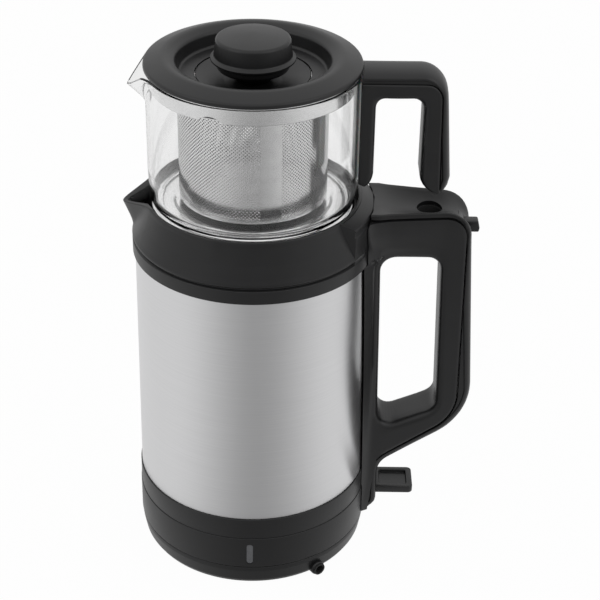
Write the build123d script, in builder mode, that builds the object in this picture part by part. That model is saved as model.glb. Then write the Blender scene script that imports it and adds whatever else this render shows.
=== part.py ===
from build123d import *
from math import cos, radians, sin
import os

# Electric tea maker: a steel kettle on a round power base, with a glass teapot standing in its collar.
# Millimetres. The origin is on the vertical axis at table level: +Z up, +X to the handles, -Y the front.

os.makedirs("parts", exist_ok=True)

# Clearances
fit = 0.15  # between pieces fixed to each other
free = 0.35  # between pieces that lift, turn or slide past each other
pin_fit = 0.05  # round a running pin

# Heights up the axis
foot_gap = 2.0  # power base above the table
base_top = 15.6
seam = 0.5  # between power base and kettle
housing_h = 22.2
trim_h = 14.6
tube_h = 152.9  # steel that shows between trim ring and collar
collar_h = 35.2
seat_depth = 4.0  # teapot's heel below the collar's rim
glass_h = 82.6

kettle_z = base_top + seam
trim_z = kettle_z + housing_h
tube_z = trim_z + trim_h
collar_z = tube_z + tube_h
rim_z = collar_z + collar_h
glass_z = rim_z - seat_depth
glass_top = glass_z + glass_h

# Outer radii, all led by the steel tube's
tube_r = 71.0  # at the foot of the steel
tube_taper = 1.0  # the steel draws in by this much at its top
trim_r = tube_r + 0.7
housing_r = tube_r + 1.0
base_r = housing_r - 0.5
collar_r = tube_r + 0.5
glass_r = tube_r - 9.8  # teapot's glass, inside the collar

# Power base
base_heel_r = base_r - 3.3
base_wall = 2.2
plate_t = 1.8
deck_drop = 2.2  # deck below the base's rim
connector_r = 15.8
boss_r = connector_r + 8.2  # raised boss round the connector
boss_top = base_top + 1.6
connector_top = base_top + 8.4
foot_r = 6.5
foot_circle = base_heel_r - 14.2
rest_r = 17.0  # flat boss under the connector, level with the feet
plate_screw_circle = foot_circle - 10.0
outlet_angle = -54.0  # cord outlet's bearing, in degrees from +X
outlet_r = 4.9
outlet_z = foot_gap + 3.3
outlet_reach = base_r + 1.9
bush_r = outlet_r - 1.0
cord_bore_r = bush_r - 1.0

# Kettle
housing_wall = 2.2
floor_z = kettle_z + 3.9  # housing floor's underside
floor_t = 2.0
trim_wall = 2.4
tube_top_r = tube_r - tube_taper
sheet = 0.6
tube_neck = 2.0  # step in of the steel behind the trim ring
vessel_floor_z = tube_z - 7.7
vessel_floor_t = 1.0
inner_wall_r = tube_top_r - 4.0  # inside of the collar above the steel
steam_r = 4.0
steam_x = inner_wall_r - steam_r - 7.0
spreader_r = steam_x - steam_r - 1.0
spreader_t = 2.8
element_r = spreader_r - 12.0
element_wire = 3.2
control_r = boss_r
control_h = 12.0
socket_r = connector_r + 2.2  # kettle's half of the connector
socket_z = connector_top + 0.6
socket_t = 2.4
lens_half = 2.0
lens_low = kettle_z + 3.1
lens_high = kettle_z + 17.7

# Collar
collar_skirt = 1.15
mouth_r = glass_r + 2 * free  # bore that takes the glass
ledge_z = rim_z - 9.0
ledge_t = 2.4
ledge_r = mouth_r - 7.6
block_half = 38.5  # half width of the block that carries the handle
spout_tip_x = -collar_r - 7.2
spout_tip_z = rim_z - 7.5

# Handle of the kettle
handle_gap = 0.35  # between the spine and the steel
cap_z = rim_z - 5.1
grip_top = cap_z - 31.7
handle_reach = 64.6  # handle's outermost point beyond the housing
handle_back = 75.0  # that point above the housing's foot
spine_t = 7.5  # spine and cover beyond the housing
elbow_h = 37.7  # where the underside meets the spine
grip_gap = 35.7  # room for the fingers
grip_floor = (64.9, 80.3)  # at the spine and at the back
grip_half = 14.5
cap_half_root = 22.0
panel_inset = 0.5  # side panels below the cover's edge
shell_wall = 3.0
cover_top = 3.8  # depth of the cover's edge at the cap
dish_depth = 4.0
well_r = 7.5
well_x = housing_r + 32.4
tray_t = 3.2

# Switch lever and lid button
pivot_x = housing_r - 6.0
pivot_z = kettle_z + 14.9
pivot_r = 1.5
lever_length = 31.2
lever_reach = housing_r + lever_length
lever_half = 11.0
lever_root_half = lever_half - 2.5
button_half = 3.5
button_low = cap_z - 18.6
button_high = button_low + 7.2
button_face = housing_r + handle_reach - 2.4
bar_t = 2.0
bar_half = 4.0

# Kettle lid
lid_plug_r = ledge_r - 1.5
lid_sheet = 1.8

# Teapot
glass_wall = 2.0
pot_tip_x = -glass_r - 11.2
pot_tip_z = glass_top - 10.6
pot_part_z = glass_top - 5.0  # where the teapot handle's cover meets its frame
pot_cover_t = 7.2
pot_handle_half = 12.0

# Infuser
band_drop = 10.1  # neck band below the glass rim
basket_r = 43.3
basket_bottom = glass_z + 5.2
mesh_sheet = 0.6

# Teapot lid
lid_r = glass_r + 0.9
disc_r = lid_r - 28.9
knob_r = 24.2


def outline(plane, *corners):
    """Closed face from corners (u, v) or (u, v, radius)."""
    with BuildSketch(plane) as face:
        with BuildLine():
            points = [corner[:2] for corner in corners]
            radii = [corner[2] if len(corner) > 2 else 0 for corner in corners]
            if any(radii):
                FilletPolyline(*points, radius=radii, close=True)
            else:
                Polyline(*points, close=True)
        make_face()
    return face.sketch


def turn(*corners, mode=Mode.ADD):
    """Revolve a closed (radius, height) outline about the vertical axis."""
    revolve(outline(Plane.XZ, *corners), axis=Axis.Z, mode=mode)


def spread(half, *corners, mode=Mode.ADD):
    """Extrude a closed (x, z) outline to both sides of the middle plane."""
    extrude(outline(Plane.XZ, *corners), amount=half, both=True, mode=mode)


def block(low, high, mode=Mode.ADD):
    """Box between two corners."""
    with Locations(tuple((a + b) / 2 for a, b in zip(low, high))):
        Box(*[b - a for a, b in zip(low, high)], mode=mode)


def beak(base_x, low, high, tip_round):
    """Wedge of two triangles (tip x, half width, height), for a pouring lip."""
    with BuildPart() as wedge:
        for tip_x, half, height in (low, high):
            add(outline(Plane.XY.offset(height), (base_x, half), (tip_x, 0, tip_round), (base_x, -half)))
        loft()
    return wedge.part


# ---------------------------------------------------------------- power base

deck_z = base_top - deck_drop
boss_roof = 2.2
plate_z = foot_gap + plate_t
outlet_plane = Plane(
    origin=(0, 0, outlet_z),
    x_dir=(-sin(radians(outlet_angle)), cos(radians(outlet_angle)), 0),
    z_dir=(cos(radians(outlet_angle)), sin(radians(outlet_angle)), 0),
)
plate_r = base_heel_r - 1.2

# Moulded cover: rim, sunk deck, raised boss and the bump that the cord leaves by.
with BuildPart() as base_shell:
    turn(
        (connector_r + 0.7, foot_gap),
        (base_heel_r, foot_gap, 0.8),
        (base_heel_r + 1.9, foot_gap + 3, 2),
        (base_r, base_top - 3, 3),
        (base_r, base_top, 0.8),
        (base_r - 4.6, base_top, 0.6),
        (base_r - 5.2, deck_z),
        (boss_r, deck_z, 0.6),
        (boss_r - 0.8, boss_top, 1),
        (connector_r + 0.7, boss_top),
    )
    with BuildSketch(outlet_plane.offset(foot_circle)):
        Circle(outlet_r)
    extrude(amount=outlet_reach - foot_circle)
    turn(
        (0, 0),
        (plate_r + fit, 0),
        (plate_r + fit, foot_gap + 3.2),
        (base_r - base_wall, deck_z - base_wall),
        (boss_r - 2.0, deck_z - base_wall),
        (boss_r - 2.8, boss_top - boss_roof),
        (0, boss_top - boss_roof),
        mode=Mode.SUBTRACT,
    )
    with PolarLocations(plate_screw_circle, 3, start_angle=20):
        with Locations((0, 0, plate_z + (deck_z - base_wall - plate_z) / 2)):
            Cylinder(4, deck_z - base_wall - plate_z)
        with Locations((0, 0, plate_z + 5.6)):
            Hole(1.45, depth=5.7)
    with BuildSketch(outlet_plane.offset(foot_circle)):
        Circle(bush_r + fit)
    extrude(amount=outlet_reach, mode=Mode.SUBTRACT)
base_shell.part.label = "base_shell"
export_step(base_shell.part, "parts/base_shell.step")

# Bottom cover with holes for the screws and the feet, notched at the cord bush. Its flat middle boss
# rests on the table with the feet and takes the push when the kettle is set down on the connector.
with BuildPart() as base_plate:
    with BuildSketch(Plane.XY.offset(foot_gap)):
        Circle(plate_r)
        with PolarLocations(plate_screw_circle, 3, start_angle=20):
            Circle(1.6, mode=Mode.SUBTRACT)
        with PolarLocations(foot_circle, 4, start_angle=45):
            Circle(3.0, mode=Mode.SUBTRACT)
        with Locations(Rotation(0, 0, outlet_angle)):
            with Locations((plate_r, 0)):
                Rectangle(2 * (plate_r - foot_circle - 6), 2 * outlet_r + 2, mode=Mode.SUBTRACT)
    extrude(amount=plate_t)
    with Locations((0, 0, foot_gap / 2)):
        Cylinder(rest_r, foot_gap)
base_plate.part.label = "base_plate"
export_step(base_plate.part, "parts/base_plate.step")

# Rubber feet, each a disc with a stem pushed through the plate.
with BuildPart() as base_feet:
    with PolarLocations(foot_circle, 4, start_angle=45):
        with Locations((0, 0, foot_gap / 2)):
            Cylinder(foot_r, foot_gap)
        with Locations((0, 0, foot_gap + (plate_t + 1.4) / 2)):
            Cylinder(3.0 - fit, plate_t + 1.4)
        with Locations((0, 0, plate_z + 1.0)):
            Cylinder(3.6, 0.8)
base_feet.part.label = "base_feet"
export_step(base_feet.part, "parts/base_feet.step")

# Screws that hold the plate to the shell's bosses.
with BuildPart() as base_screws:
    with PolarLocations(plate_screw_circle, 3, start_angle=20):
        with Locations((0, 0, foot_gap - 0.6)):
            Cylinder(2.8, 1.2)
        with Locations((0, 0, foot_gap + (plate_t + 5.0) / 2)):
            Cylinder(1.4, plate_t + 5.0)
base_screws.part.label = "base_screws"
export_step(base_screws.part, "parts/base_screws.step")

# Round connector: a hub with two ring grooves and a centre hole, flanged under the boss.
groove_floor = boss_top - 1.2
hub_low = boss_top - 4.6
small_groove = (4.5, 7.0)  # inner and outer radius
large_groove = (10.0, 12.5)
with BuildPart() as base_connector:
    turn(
        (2.3, hub_low),
        (boss_r - 3.2, hub_low),
        (boss_r - 3.2, boss_top - boss_roof - 0.1),
        (connector_r, boss_top - boss_roof - 0.1),
        (connector_r, connector_top, 0.8),
        (2.3, connector_top),
    )
    for inner, outer in (small_groove, large_groove):
        turn(
            (inner, groove_floor),
            (outer, groove_floor),
            (outer, connector_top + 1),
            (inner, connector_top + 1),
            mode=Mode.SUBTRACT,
        )
base_connector.part.label = "base_connector"
export_step(base_connector.part, "parts/base_connector.step")

# Brass contacts: two rings on the groove floors and an earth bush in the centre hole.
with BuildPart() as base_contacts:
    for inner, outer in (small_groove, large_groove):
        turn(
            (inner + 0.1, groove_floor),
            (outer - 0.1, groove_floor),
            (outer - 0.1, groove_floor + 0.9),
            (inner + 0.1, groove_floor + 0.9),
        )
    turn((1.35, hub_low), (2.2, hub_low), (2.2, groove_floor - 0.4), (1.35, groove_floor - 0.4))
base_contacts.part.label = "base_contacts"
export_step(base_contacts.part, "parts/base_contacts.step")

# Rubber bush that lines the cord outlet.
with BuildPart() as cord_bush:
    with BuildSketch(outlet_plane.offset(plate_r + 0.5)):
        Circle(bush_r)
        Circle(cord_bore_r, mode=Mode.SUBTRACT)
    extrude(amount=outlet_reach - plate_r + 0.3)
    with BuildSketch(outlet_plane.offset(plate_r - 2.0)):
        Circle(bush_r + 0.4)
        Circle(cord_bore_r, mode=Mode.SUBTRACT)
    extrude(amount=1.5)
    with BuildSketch(outlet_plane.offset(plate_r - 0.5)):
        Circle(bush_r)
        Circle(cord_bore_r, mode=Mode.SUBTRACT)
    extrude(amount=1.0)
cord_bush.part.label = "cord_bush"
export_step(cord_bush.part, "parts/cord_bush.step")

# ---------------------------------------------------------------- connector half carried by the kettle

with BuildPart() as socket_disc:
    turn(
        (2.0, socket_z),
        (socket_r, socket_z),
        (socket_r, socket_z + socket_t),
        (2.0, socket_z + socket_t),
    )
socket_disc.part.label = "socket_disc"
export_step(socket_disc.part, "parts/socket_disc.step")

# Earth pin and two contact rings that dip into the base connector's grooves.
with BuildPart() as socket_contacts:
    for inner, outer in (small_groove, large_groove):
        turn(
            (inner + 0.7, groove_floor + 1.6),
            (outer - 0.7, groove_floor + 1.6),
            (outer - 0.7, socket_z),
            (inner + 0.7, socket_z),
        )
    turn((0, hub_low + 1.4), (1.0, hub_low + 1.4), (1.0, socket_z), (0, socket_z))
socket_contacts.part.label = "socket_contacts"
export_step(socket_contacts.part, "parts/socket_contacts.step")

# ---------------------------------------------------------------- kettle: lower housing

floor_top = floor_z + floor_t
spigot_r = tube_r - tube_neck - sheet - fit - 0.05
ear_t = 2.6
slot_half = lever_root_half + 1.1
slot_z = (pivot_z - 4.8, pivot_z + 4.2)

# Black skirt with the indicator window, the lever's opening and two ears for the lever's pin.
with BuildPart() as kettle_housing:
    turn(
        (housing_r - housing_wall, kettle_z),
        (housing_r, kettle_z, 0.8),
        (housing_r, trim_z, 0.4),
        (spigot_r, trim_z),
        (spigot_r, trim_z + 4.2),
        (spigot_r - 1.9, trim_z + 4.2),
        (spigot_r - 1.9, trim_z - 1.9),
        (housing_r - housing_wall, trim_z - 1.9),
        (housing_r - housing_wall, floor_top),
        (socket_r + 1.6, floor_top),
        (socket_r + 1.6, floor_z),
        (housing_r - housing_wall, floor_z),
    )
    with Locations((pivot_x - 0.4, 0, (floor_top + pivot_z + 3.2) / 2)):
        Box(6.4, 2 * (lever_root_half + free + ear_t), pivot_z + 3.2 - floor_top)
        Box(6.4, 2 * (lever_root_half + free), pivot_z + 3.2 - floor_top, mode=Mode.SUBTRACT)
    with Locations(Location((pivot_x, 0, pivot_z), (90, 0, 0))):
        Cylinder(pivot_r, 2 * (lever_root_half + free + ear_t), mode=Mode.SUBTRACT)
    block((housing_r - 3, -slot_half, slot_z[0]), (housing_r + 2, slot_half, slot_z[1]), Mode.SUBTRACT)
    with BuildSketch(Plane.XZ.offset(housing_r - 4)):
        with Locations((0, (lens_low + lens_high) / 2)):
            SlotOverall(lens_high - lens_low + 2 * fit, 2 * (lens_half + fit), rotation=90)
    extrude(amount=8, mode=Mode.SUBTRACT)
    with Locations((0, control_r + 2, floor_top), (0, -control_r - 2, floor_top)):
        Hole(1.45, depth=floor_t)
kettle_housing.part.label = "kettle_housing"
export_step(kettle_housing.part, "parts/kettle_housing.step")

with BuildPart() as trim_ring:
    turn(
        (trim_r - trim_wall, trim_z),
        (trim_r, trim_z, 0.4),
        (trim_r, tube_z, 0.5),
        (trim_r - trim_wall, tube_z),
    )
trim_ring.part.label = "trim_ring"
export_step(trim_ring.part, "parts/trim_ring.step")

with BuildPart() as indicator_lens:
    with BuildSketch(Plane.XZ.offset(housing_r - housing_wall + 0.05)):
        with Locations((0, (lens_low + lens_high) / 2)):
            SlotOverall(lens_high - lens_low, 2 * lens_half, rotation=90)
    extrude(amount=housing_wall - 0.5)
    block(
        (-lens_half, -housing_r + housing_wall - 0.1, floor_top + 1),
        (lens_half, -housing_r + housing_wall + 3.6, lens_high - 1.2),
    )
indicator_lens.part.label = "indicator_lens"
export_step(indicator_lens.part, "parts/indicator_lens.step")

# Lamp in its holder, standing on the housing floor behind the lens.
lamp_y = -housing_r + housing_wall + 3.6 + fit
with BuildPart() as indicator_lamp:
    block((-4, lamp_y + 1.6, floor_top), (4, lamp_y + 8, floor_top + 8.5))
    with BuildSketch(Plane.XZ.offset(-lamp_y - 1.6)):
        with Locations((0, floor_top + 5)):
            Circle(2.5)
    extrude(amount=1.6)
indicator_lamp.part.label = "indicator_lamp"
export_step(indicator_lamp.part, "parts/indicator_lamp.step")

# Control unit: thermostat and switch in one block, hollow below for the socket disc.
with BuildPart() as control_unit:
    turn(
        (0, socket_z + socket_t + free),
        (socket_r + 0.4, socket_z + socket_t + free),
        (socket_r + 0.4, floor_top),
        (control_r + 4.6, floor_top),
        (control_r + 4.6, floor_top + 2.5),
        (control_r, floor_top + 2.5),
        (control_r, floor_top + control_h, 1.2),
        (0, floor_top + control_h),
    )
    with Locations((0, control_r + 2, floor_top + 2.5), (0, -control_r - 2, floor_top + 2.5)):
        Hole(1.45, depth=2.5)
control_unit.part.label = "control_unit"
export_step(control_unit.part, "parts/control_unit.step")

with BuildPart() as control_screws:
    for side in (-1, 1):
        with Locations((0, side * (control_r + 2), floor_top + 0.5)):
            Cylinder(1.4, floor_t + 2.0)
        with Locations((0, side * (control_r + 2), floor_top + 2.5 + 0.75)):
            Cylinder(1.9, 1.5)
control_screws.part.label = "control_screws"
export_step(control_screws.part, "parts/control_screws.step")

# ---------------------------------------------------------------- kettle: steel vessel and heater

neck_r = tube_r - tube_neck
tube_top = collar_z + 7.2

with BuildPart() as steel_body:
    turn(
        (neck_r, trim_z + 0.9),
        (neck_r, tube_z + fit),
        (tube_r, tube_z + fit),
        (tube_top_r, tube_top),
        (tube_top_r - sheet, tube_top),
        (tube_r - sheet, tube_z + fit + sheet),
        (neck_r - sheet, tube_z + fit + sheet),
        (neck_r - sheet, trim_z + 0.9),
    )
steel_body.part.label = "steel_body"
export_step(steel_body.part, "parts/steel_body.step")

floor_r = neck_r - sheet - fit
with BuildPart() as vessel_floor:
    turn(
        (0, vessel_floor_z),
        (floor_r - 0.8, vessel_floor_z),
        (floor_r - 0.8, vessel_floor_z - 1.8),
        (floor_r, vessel_floor_z - 1.8),
        (floor_r, vessel_floor_z + vessel_floor_t, 0.6),
        (0, vessel_floor_z + vessel_floor_t),
    )
    with Locations((steam_x, 0, vessel_floor_z + vessel_floor_t)):
        Hole(steam_r + fit, depth=vessel_floor_t)
vessel_floor.part.label = "vessel_floor"
export_step(vessel_floor.part, "parts/vessel_floor.step")

with BuildPart() as heat_spreader:
    with Locations((0, 0, vessel_floor_z - spreader_t / 2)):
        Cylinder(spreader_r, spreader_t)
heat_spreader.part.label = "heat_spreader"
export_step(heat_spreader.part, "parts/heat_spreader.step")

# Sheathed element bent to an open ring under the spreader, with its two ends turned down.
element_z = vessel_floor_z - spreader_t - element_wire
with BuildPart() as heating_element:
    with BuildSketch(Plane.XZ.rotated((0, 0, 30))):
        with Locations((element_r, element_z)):
            Circle(element_wire)
    revolve(axis=Axis.Z, revolution_arc=300)
    with Locations(Rotation(0, 0, 30), Rotation(0, 0, -30)):
        with Locations((element_r, 0, element_z - 4.5)):
            Cylinder(1.6, 9)
heating_element.part.label = "heating_element"
export_step(heating_element.part, "parts/heating_element.step")

# Steam tube from the collar down through the vessel floor to the control unit.
with BuildPart() as steam_tube:
    with BuildSketch(Plane.XY.offset(vessel_floor_z - 5)):
        with Locations((steam_x, 0)):
            Circle(steam_r)
            Circle(steam_r - 0.8, mode=Mode.SUBTRACT)
    extrude(amount=collar_z + 4 - vessel_floor_z + 5)
steam_tube.part.label = "steam_tube"
export_step(steam_tube.part, "parts/steam_tube.step")

# ---------------------------------------------------------------- kettle: collar

web_z = tube_top + 0.6
screw_z = cap_z - 13.9
screw_spots = ((collar_r, 12, screw_z), (collar_r, -12, screw_z))
catch_z = (button_low - 0.4, rim_z - 4.5)
bar_slot = bar_half + 0.5
bar_z = (catch_z[0], button_low + bar_t + 0.4)
spout_z = rim_z - 22.0  # where the spout grows out of the wall
spout_root_x = -collar_r + 15.5
spout_wall = 3.2

spout_hollow = beak(
    spout_root_x + 8,
    (-collar_r + 4.5, 11.5, spout_z + 0.5),
    (-collar_r - 11.7 + spout_wall, 22.5, rim_z + 1),
    3.0,
)
with BuildPart() as spout_shell:
    add(beak(spout_root_x, (-collar_r + 1.2, 11, spout_z), (-collar_r - 11.7, 21.4, rim_z), 4.0))
    turn(
        (0, web_z),
        (inner_wall_r, web_z),
        (inner_wall_r, ledge_z - 4),
        (mouth_r, ledge_z),
        (mouth_r, rim_z + 9),
        (0, rim_z + 9),
        mode=Mode.SUBTRACT,
    )

# Block that carries the handle: a sector of the collar's ring, its top falling outwards to the cap.
with BuildPart() as handle_block:
    turn(
        (mouth_r, web_z),
        (collar_r, web_z),
        (collar_r, cap_z + 1.0),
        (mouth_r + 2.8, rim_z - 0.1, 3),
        (mouth_r, rim_z - 0.1),
    )
    with Locations((collar_r / 2 + 10, 0, rim_z - 15)):
        Box(collar_r, 2 * block_half, 60, mode=Mode.INTERSECT)

# Black collar: skirt over the steel, bead, waisted wall, mouth for the glass and spout.
with BuildPart() as collar:
    turn(
        (collar_r - collar_skirt, collar_z),
        (collar_r, collar_z, 0.3),
        (collar_r, collar_z + 8.6, 0.3),
        (collar_r - 1.1, collar_z + 9.2, 0.3),
        (collar_r - 0.1, collar_z + 11.5, 2),
        (collar_r - 0.2, collar_z + 15.0, 2),
        (collar_r - 2.6, collar_z + 20.0, 6),
        (mouth_r + 2.4, rim_z - 4.2, 6),
        (mouth_r + 1.6, rim_z, 1.0),
        (mouth_r, rim_z, 0.3),
        (mouth_r, ledge_z),
        (ledge_r, ledge_z),
        (ledge_r, ledge_z - ledge_t),
        (inner_wall_r - 1.4, ledge_z - ledge_t),
        (inner_wall_r, ledge_z - ledge_t - 4),
        (inner_wall_r, collar_z - 1.3),
        (inner_wall_r + 1.6, collar_z - 1.3),
        (inner_wall_r + 1.6, web_z),
        (collar_r - collar_skirt, web_z),
    )
    add(spout_shell.part)
    add(handle_block.part)
    add(spout_hollow, mode=Mode.SUBTRACT)
    spread(
        30,
        (spout_tip_x - 12, spout_tip_z - 4.5),
        (spout_tip_x, spout_tip_z),
        (-mouth_r + 0.9, rim_z - 0.9),
        (-mouth_r + 0.9, rim_z + 3),
        (spout_tip_x - 12, rim_z + 3),
        mode=Mode.SUBTRACT,
    )
    block((mouth_r + 1.7, -bar_slot, catch_z[0]), (collar_r + 1, bar_slot, catch_z[1]), Mode.SUBTRACT)
    block((mouth_r - 1, -bar_slot, ledge_z + 0.7), (mouth_r + 3, bar_slot, catch_z[1]), Mode.SUBTRACT)
    for spot in screw_spots:
        with Locations(Location(spot, (0, 90, 0))):
            Cylinder(1.65, 16, mode=Mode.SUBTRACT)
collar.part.label = "collar"
export_step(collar.part, "parts/collar.step")

with BuildPart() as collar_seal:
    turn(
        (inner_wall_r + 1.7, collar_z + 1.5),
        (tube_top_r - sheet - 0.1, collar_z + 1.5),
        (tube_top_r - sheet - 0.1, collar_z + 4.5),
        (inner_wall_r + 1.7, collar_z + 4.5),
    )
collar_seal.part.label = "collar_seal"
export_step(collar_seal.part, "parts/collar_seal.step")

# ---------------------------------------------------------------- kettle: handle

spine_x = housing_r + spine_t  # outer face of the spine over the housing
spine_part_x = housing_r + 2.0  # where the cover meets the spine
spine_foot = kettle_z + 0.5
cover_foot = spine_foot + 2.4
spine_cut = spine_foot - 13.0  # outlines of the spine run on below its foot
back_low = (housing_r + handle_reach, kettle_z + handle_back)
back_top_x = back_low[0] - 8.7
elbow = (spine_x, kettle_z + elbow_h)
hidden_x = housing_r - 32.0  # outlines run on into the kettle and are cut back to its skin
far_x = back_low[0] + 3.4

# Outer side view of the handle.
handle_hull = (
    (hidden_x, cap_z + 1.4),
    (back_top_x, cap_z, 17),
    (*back_low, 42),
    (*elbow, 14),
    (spine_x, cover_foot, 7),
    (hidden_x, cover_foot),
)
grip_in = housing_r + 3.9
grip_out = grip_in + grip_gap
grip_low = (kettle_z + grip_floor[0], kettle_z + grip_floor[1])
grip = (
    (grip_in, grip_top, 10),
    (grip_out, grip_top, 8),
    (grip_out + 2.6, grip_low[1], 9),
    (grip_in + 2.5, grip_low[0], 8),
)
grip_wall = (
    (grip_in - shell_wall, grip_top + shell_wall, 12),
    (grip_out + shell_wall, grip_top + shell_wall, 10),
    (grip_out + 2.6 + shell_wall, grip_low[1] - shell_wall, 11),
    (grip_in + 2.5 - shell_wall, grip_low[0] - shell_wall, 10),
)


def parting(gap):
    """Region inside the line that the cover and the frame share, grown by a gap."""
    return (
        (hidden_x, cap_z - cover_top + 1.0 + gap),
        (back_top_x - 1.7 + gap, cap_z - cover_top + gap, 12),
        (back_low[0] - 8.8 + gap, back_low[1] + 0.6 - gap, 30),
        (spine_part_x + gap, elbow[1] + 1.4 - gap, 24),
        (spine_part_x + gap, spine_cut),
        (hidden_x, spine_cut),
    )


def plan_form(inset):
    """Width of the handle seen from above: parallel below, flared to the collar above the grip."""
    half = grip_half - inset
    root = cap_half_root - inset
    with BuildPart() as solid:
        block((hidden_x, -half, 0), (far_x, half, grip_top))
        with BuildSketch(Plane.XY.offset(grip_top - 0.5)):
            with BuildLine():
                Polyline(
                    (hidden_x, -root - 1),
                    (housing_r, -root),
                    (housing_r + 23, -half - 2.8),
                    (housing_r + 41, -half - 0.6),
                    (far_x, -half),
                    (far_x, half),
                    (housing_r + 41, half + 0.6),
                    (housing_r + 23, half + 2.8),
                    (housing_r, root),
                    (hidden_x, root + 1),
                    close=True,
                )
            make_face()
        extrude(amount=cap_z + 10 - grip_top)
    return solid.part


frame_plan = plan_form(0)
cover_plan = plan_form(panel_inset)
cavity_plan = plan_form(shell_wall)
tray_plan = plan_form(shell_wall + fit)

# Everything that the handle stays clear of: skirt, steel and collar.
with BuildPart() as kettle_skin:
    turn(
        (0, 0),
        (housing_r + handle_gap, 0),
        (housing_r + handle_gap, tube_z + handle_gap),
        (tube_r + handle_gap, tube_z + handle_gap),
        (tube_top_r + handle_gap, collar_z - handle_gap),
        (collar_r + handle_gap, collar_z - handle_gap),
        (collar_r + handle_gap, rim_z + 10),
        (0, rim_z + 10),
    )

# Hollow inside the frame, open towards the cover: cap, grip and underside, but not the spine.
cap_root = collar_r + handle_gap + shell_wall
with BuildPart() as frame_hollow:
    spread(30, *parting(0.5))
    spread(30, *grip_wall, mode=Mode.SUBTRACT)
    block((0, -40, 0), (cap_root, 40, rim_z), Mode.SUBTRACT)
    block((0, -40, 0), (housing_r + 12, 40, grip_top + shell_wall), Mode.SUBTRACT)
    add(cavity_plan, mode=Mode.INTERSECT)

# Spine against the steel, wide under the collar and narrow at the foot.
edge_x = spine_part_x - 0.1
foot_x = edge_x - 9.9
foot_half = grip_half - 0.5
neck_half = grip_half + 1.3
with BuildPart() as spine:
    with BuildSketch(Plane.XY.offset(spine_foot)):
        with BuildLine():
            Polyline(
                (foot_x, foot_half + 7.5),
                (edge_x, foot_half),
                (edge_x, -foot_half),
                (foot_x, -foot_half - 7.5),
                close=True,
            )
        make_face()
    with BuildSketch(Plane.XY.offset(collar_z - handle_gap)):
        with BuildLine():
            Polyline(
                (foot_x - 8, neck_half + 25.8),
                (edge_x - 0.7, neck_half),
                (edge_x - 0.7, -neck_half),
                (foot_x - 8, -neck_half - 25.8),
                close=True,
            )
        make_face()
    loft()

# Frame: side panels, inner wall round the grip and the spine, with windows for lever and catch bar.
dish_z = cap_z - dish_depth
rib_x = housing_r + 41.5  # rib that the button's spring pushes against
button_back = rib_x + 7.5
with BuildPart() as handle_frame:
    spread(30, *parting(0))
    add(frame_plan, mode=Mode.INTERSECT)
    spread(60, *grip, mode=Mode.SUBTRACT)
    side_edges = handle_frame.edges().filter_by(lambda e: abs(abs(e.center().Y) - grip_half) < 0.01)
    grip_edges = side_edges.filter_by(
        lambda e: e.bounding_box().min.X > grip_in - 1
        and e.bounding_box().max.X < grip_out + 4
        and e.bounding_box().min.Z > grip_low[0] - 1
        and e.center().Z < grip_top - 1
    )
    fillet(grip_edges, 2.6)
    add(spine.part)
    add(frame_hollow.part, mode=Mode.SUBTRACT)
    add(kettle_skin.part, mode=Mode.SUBTRACT)
    block((hidden_x, -60, 0), (far_x, 60, spine_foot), Mode.SUBTRACT)
    block((rib_x - 1.5, -grip_half + 1, grip_top + 2), (rib_x, grip_half - 1, dish_z - tray_t - 0.4))
    block((hidden_x, -slot_half, slot_z[0]), (housing_r + 18, slot_half, slot_z[1]), Mode.SUBTRACT)
    block((hidden_x, -bar_slot, bar_z[0]), (rib_x + 2, bar_slot, bar_z[1]), Mode.SUBTRACT)
    for spot in screw_spots:
        with Locations(Location(spot, (0, 90, 0))):
            Cylinder(1.65, 12, mode=Mode.SUBTRACT)
handle_frame.part.label = "handle_frame"
export_step(handle_frame.part, "parts/handle_frame.step")

# Cover: dished cap, back and underside of the grip and the tongue down the spine, in one strip. A tray
# under the cap's dish closes it.
dish_r = 128.0
dish_round = 28.0
tray_low = (cap_root + fit, -30, dish_z - tray_t)
with BuildPart() as cap_tray:
    block(tray_low, (back_top_x - 8, 30, cap_z - cover_top + 0.5))
    add(tray_plan, mode=Mode.INTERSECT)

paddle_gap = lever_half + free
window_half = button_half + free
window_z = (button_low - free, button_high + free)
with BuildPart() as handle_cover:
    spread(30, *handle_hull)
    add(cover_plan, mode=Mode.INTERSECT)
    spread(30, *parting(fit), mode=Mode.SUBTRACT)
    add(cap_tray.part)
    with Locations(Location((well_x, 0, dish_z + dish_r), (90, 0, 0))):
        Torus(dish_r - dish_round, dish_round, mode=Mode.SUBTRACT)
    with Locations((well_x, 0, dish_z)):
        Cylinder(well_r + 0.05, 12, mode=Mode.SUBTRACT)
    add(kettle_skin.part, mode=Mode.SUBTRACT)
    block((rib_x + 1.5, -window_half, window_z[0]), (far_x, window_half, window_z[1]), Mode.SUBTRACT)
    block((hidden_x, -paddle_gap, slot_z[0]), (housing_r + 18, paddle_gap, slot_z[1]), Mode.SUBTRACT)
handle_cover.part.label = "handle_cover"
export_step(handle_cover.part, "parts/handle_cover.step")

# Round well in the cap, a plain dark cup pressed in from above.
well_bottom = button_low + bar_t + 0.6
with BuildPart() as cap_well:
    turn(
        (0, well_bottom),
        (well_r, well_bottom, 0.8),
        (well_r, dish_z + 0.1),
        (well_r - 1.2, dish_z + 0.1),
        (well_r - 1.2, well_bottom + 1.2, 0.6),
        (0, well_bottom + 1.2),
    )
cap_well.part.label = "cap_well"
cap_well.part.position = (well_x, 0, 0)
export_step(cap_well.part, "parts/cap_well.step")

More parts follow.
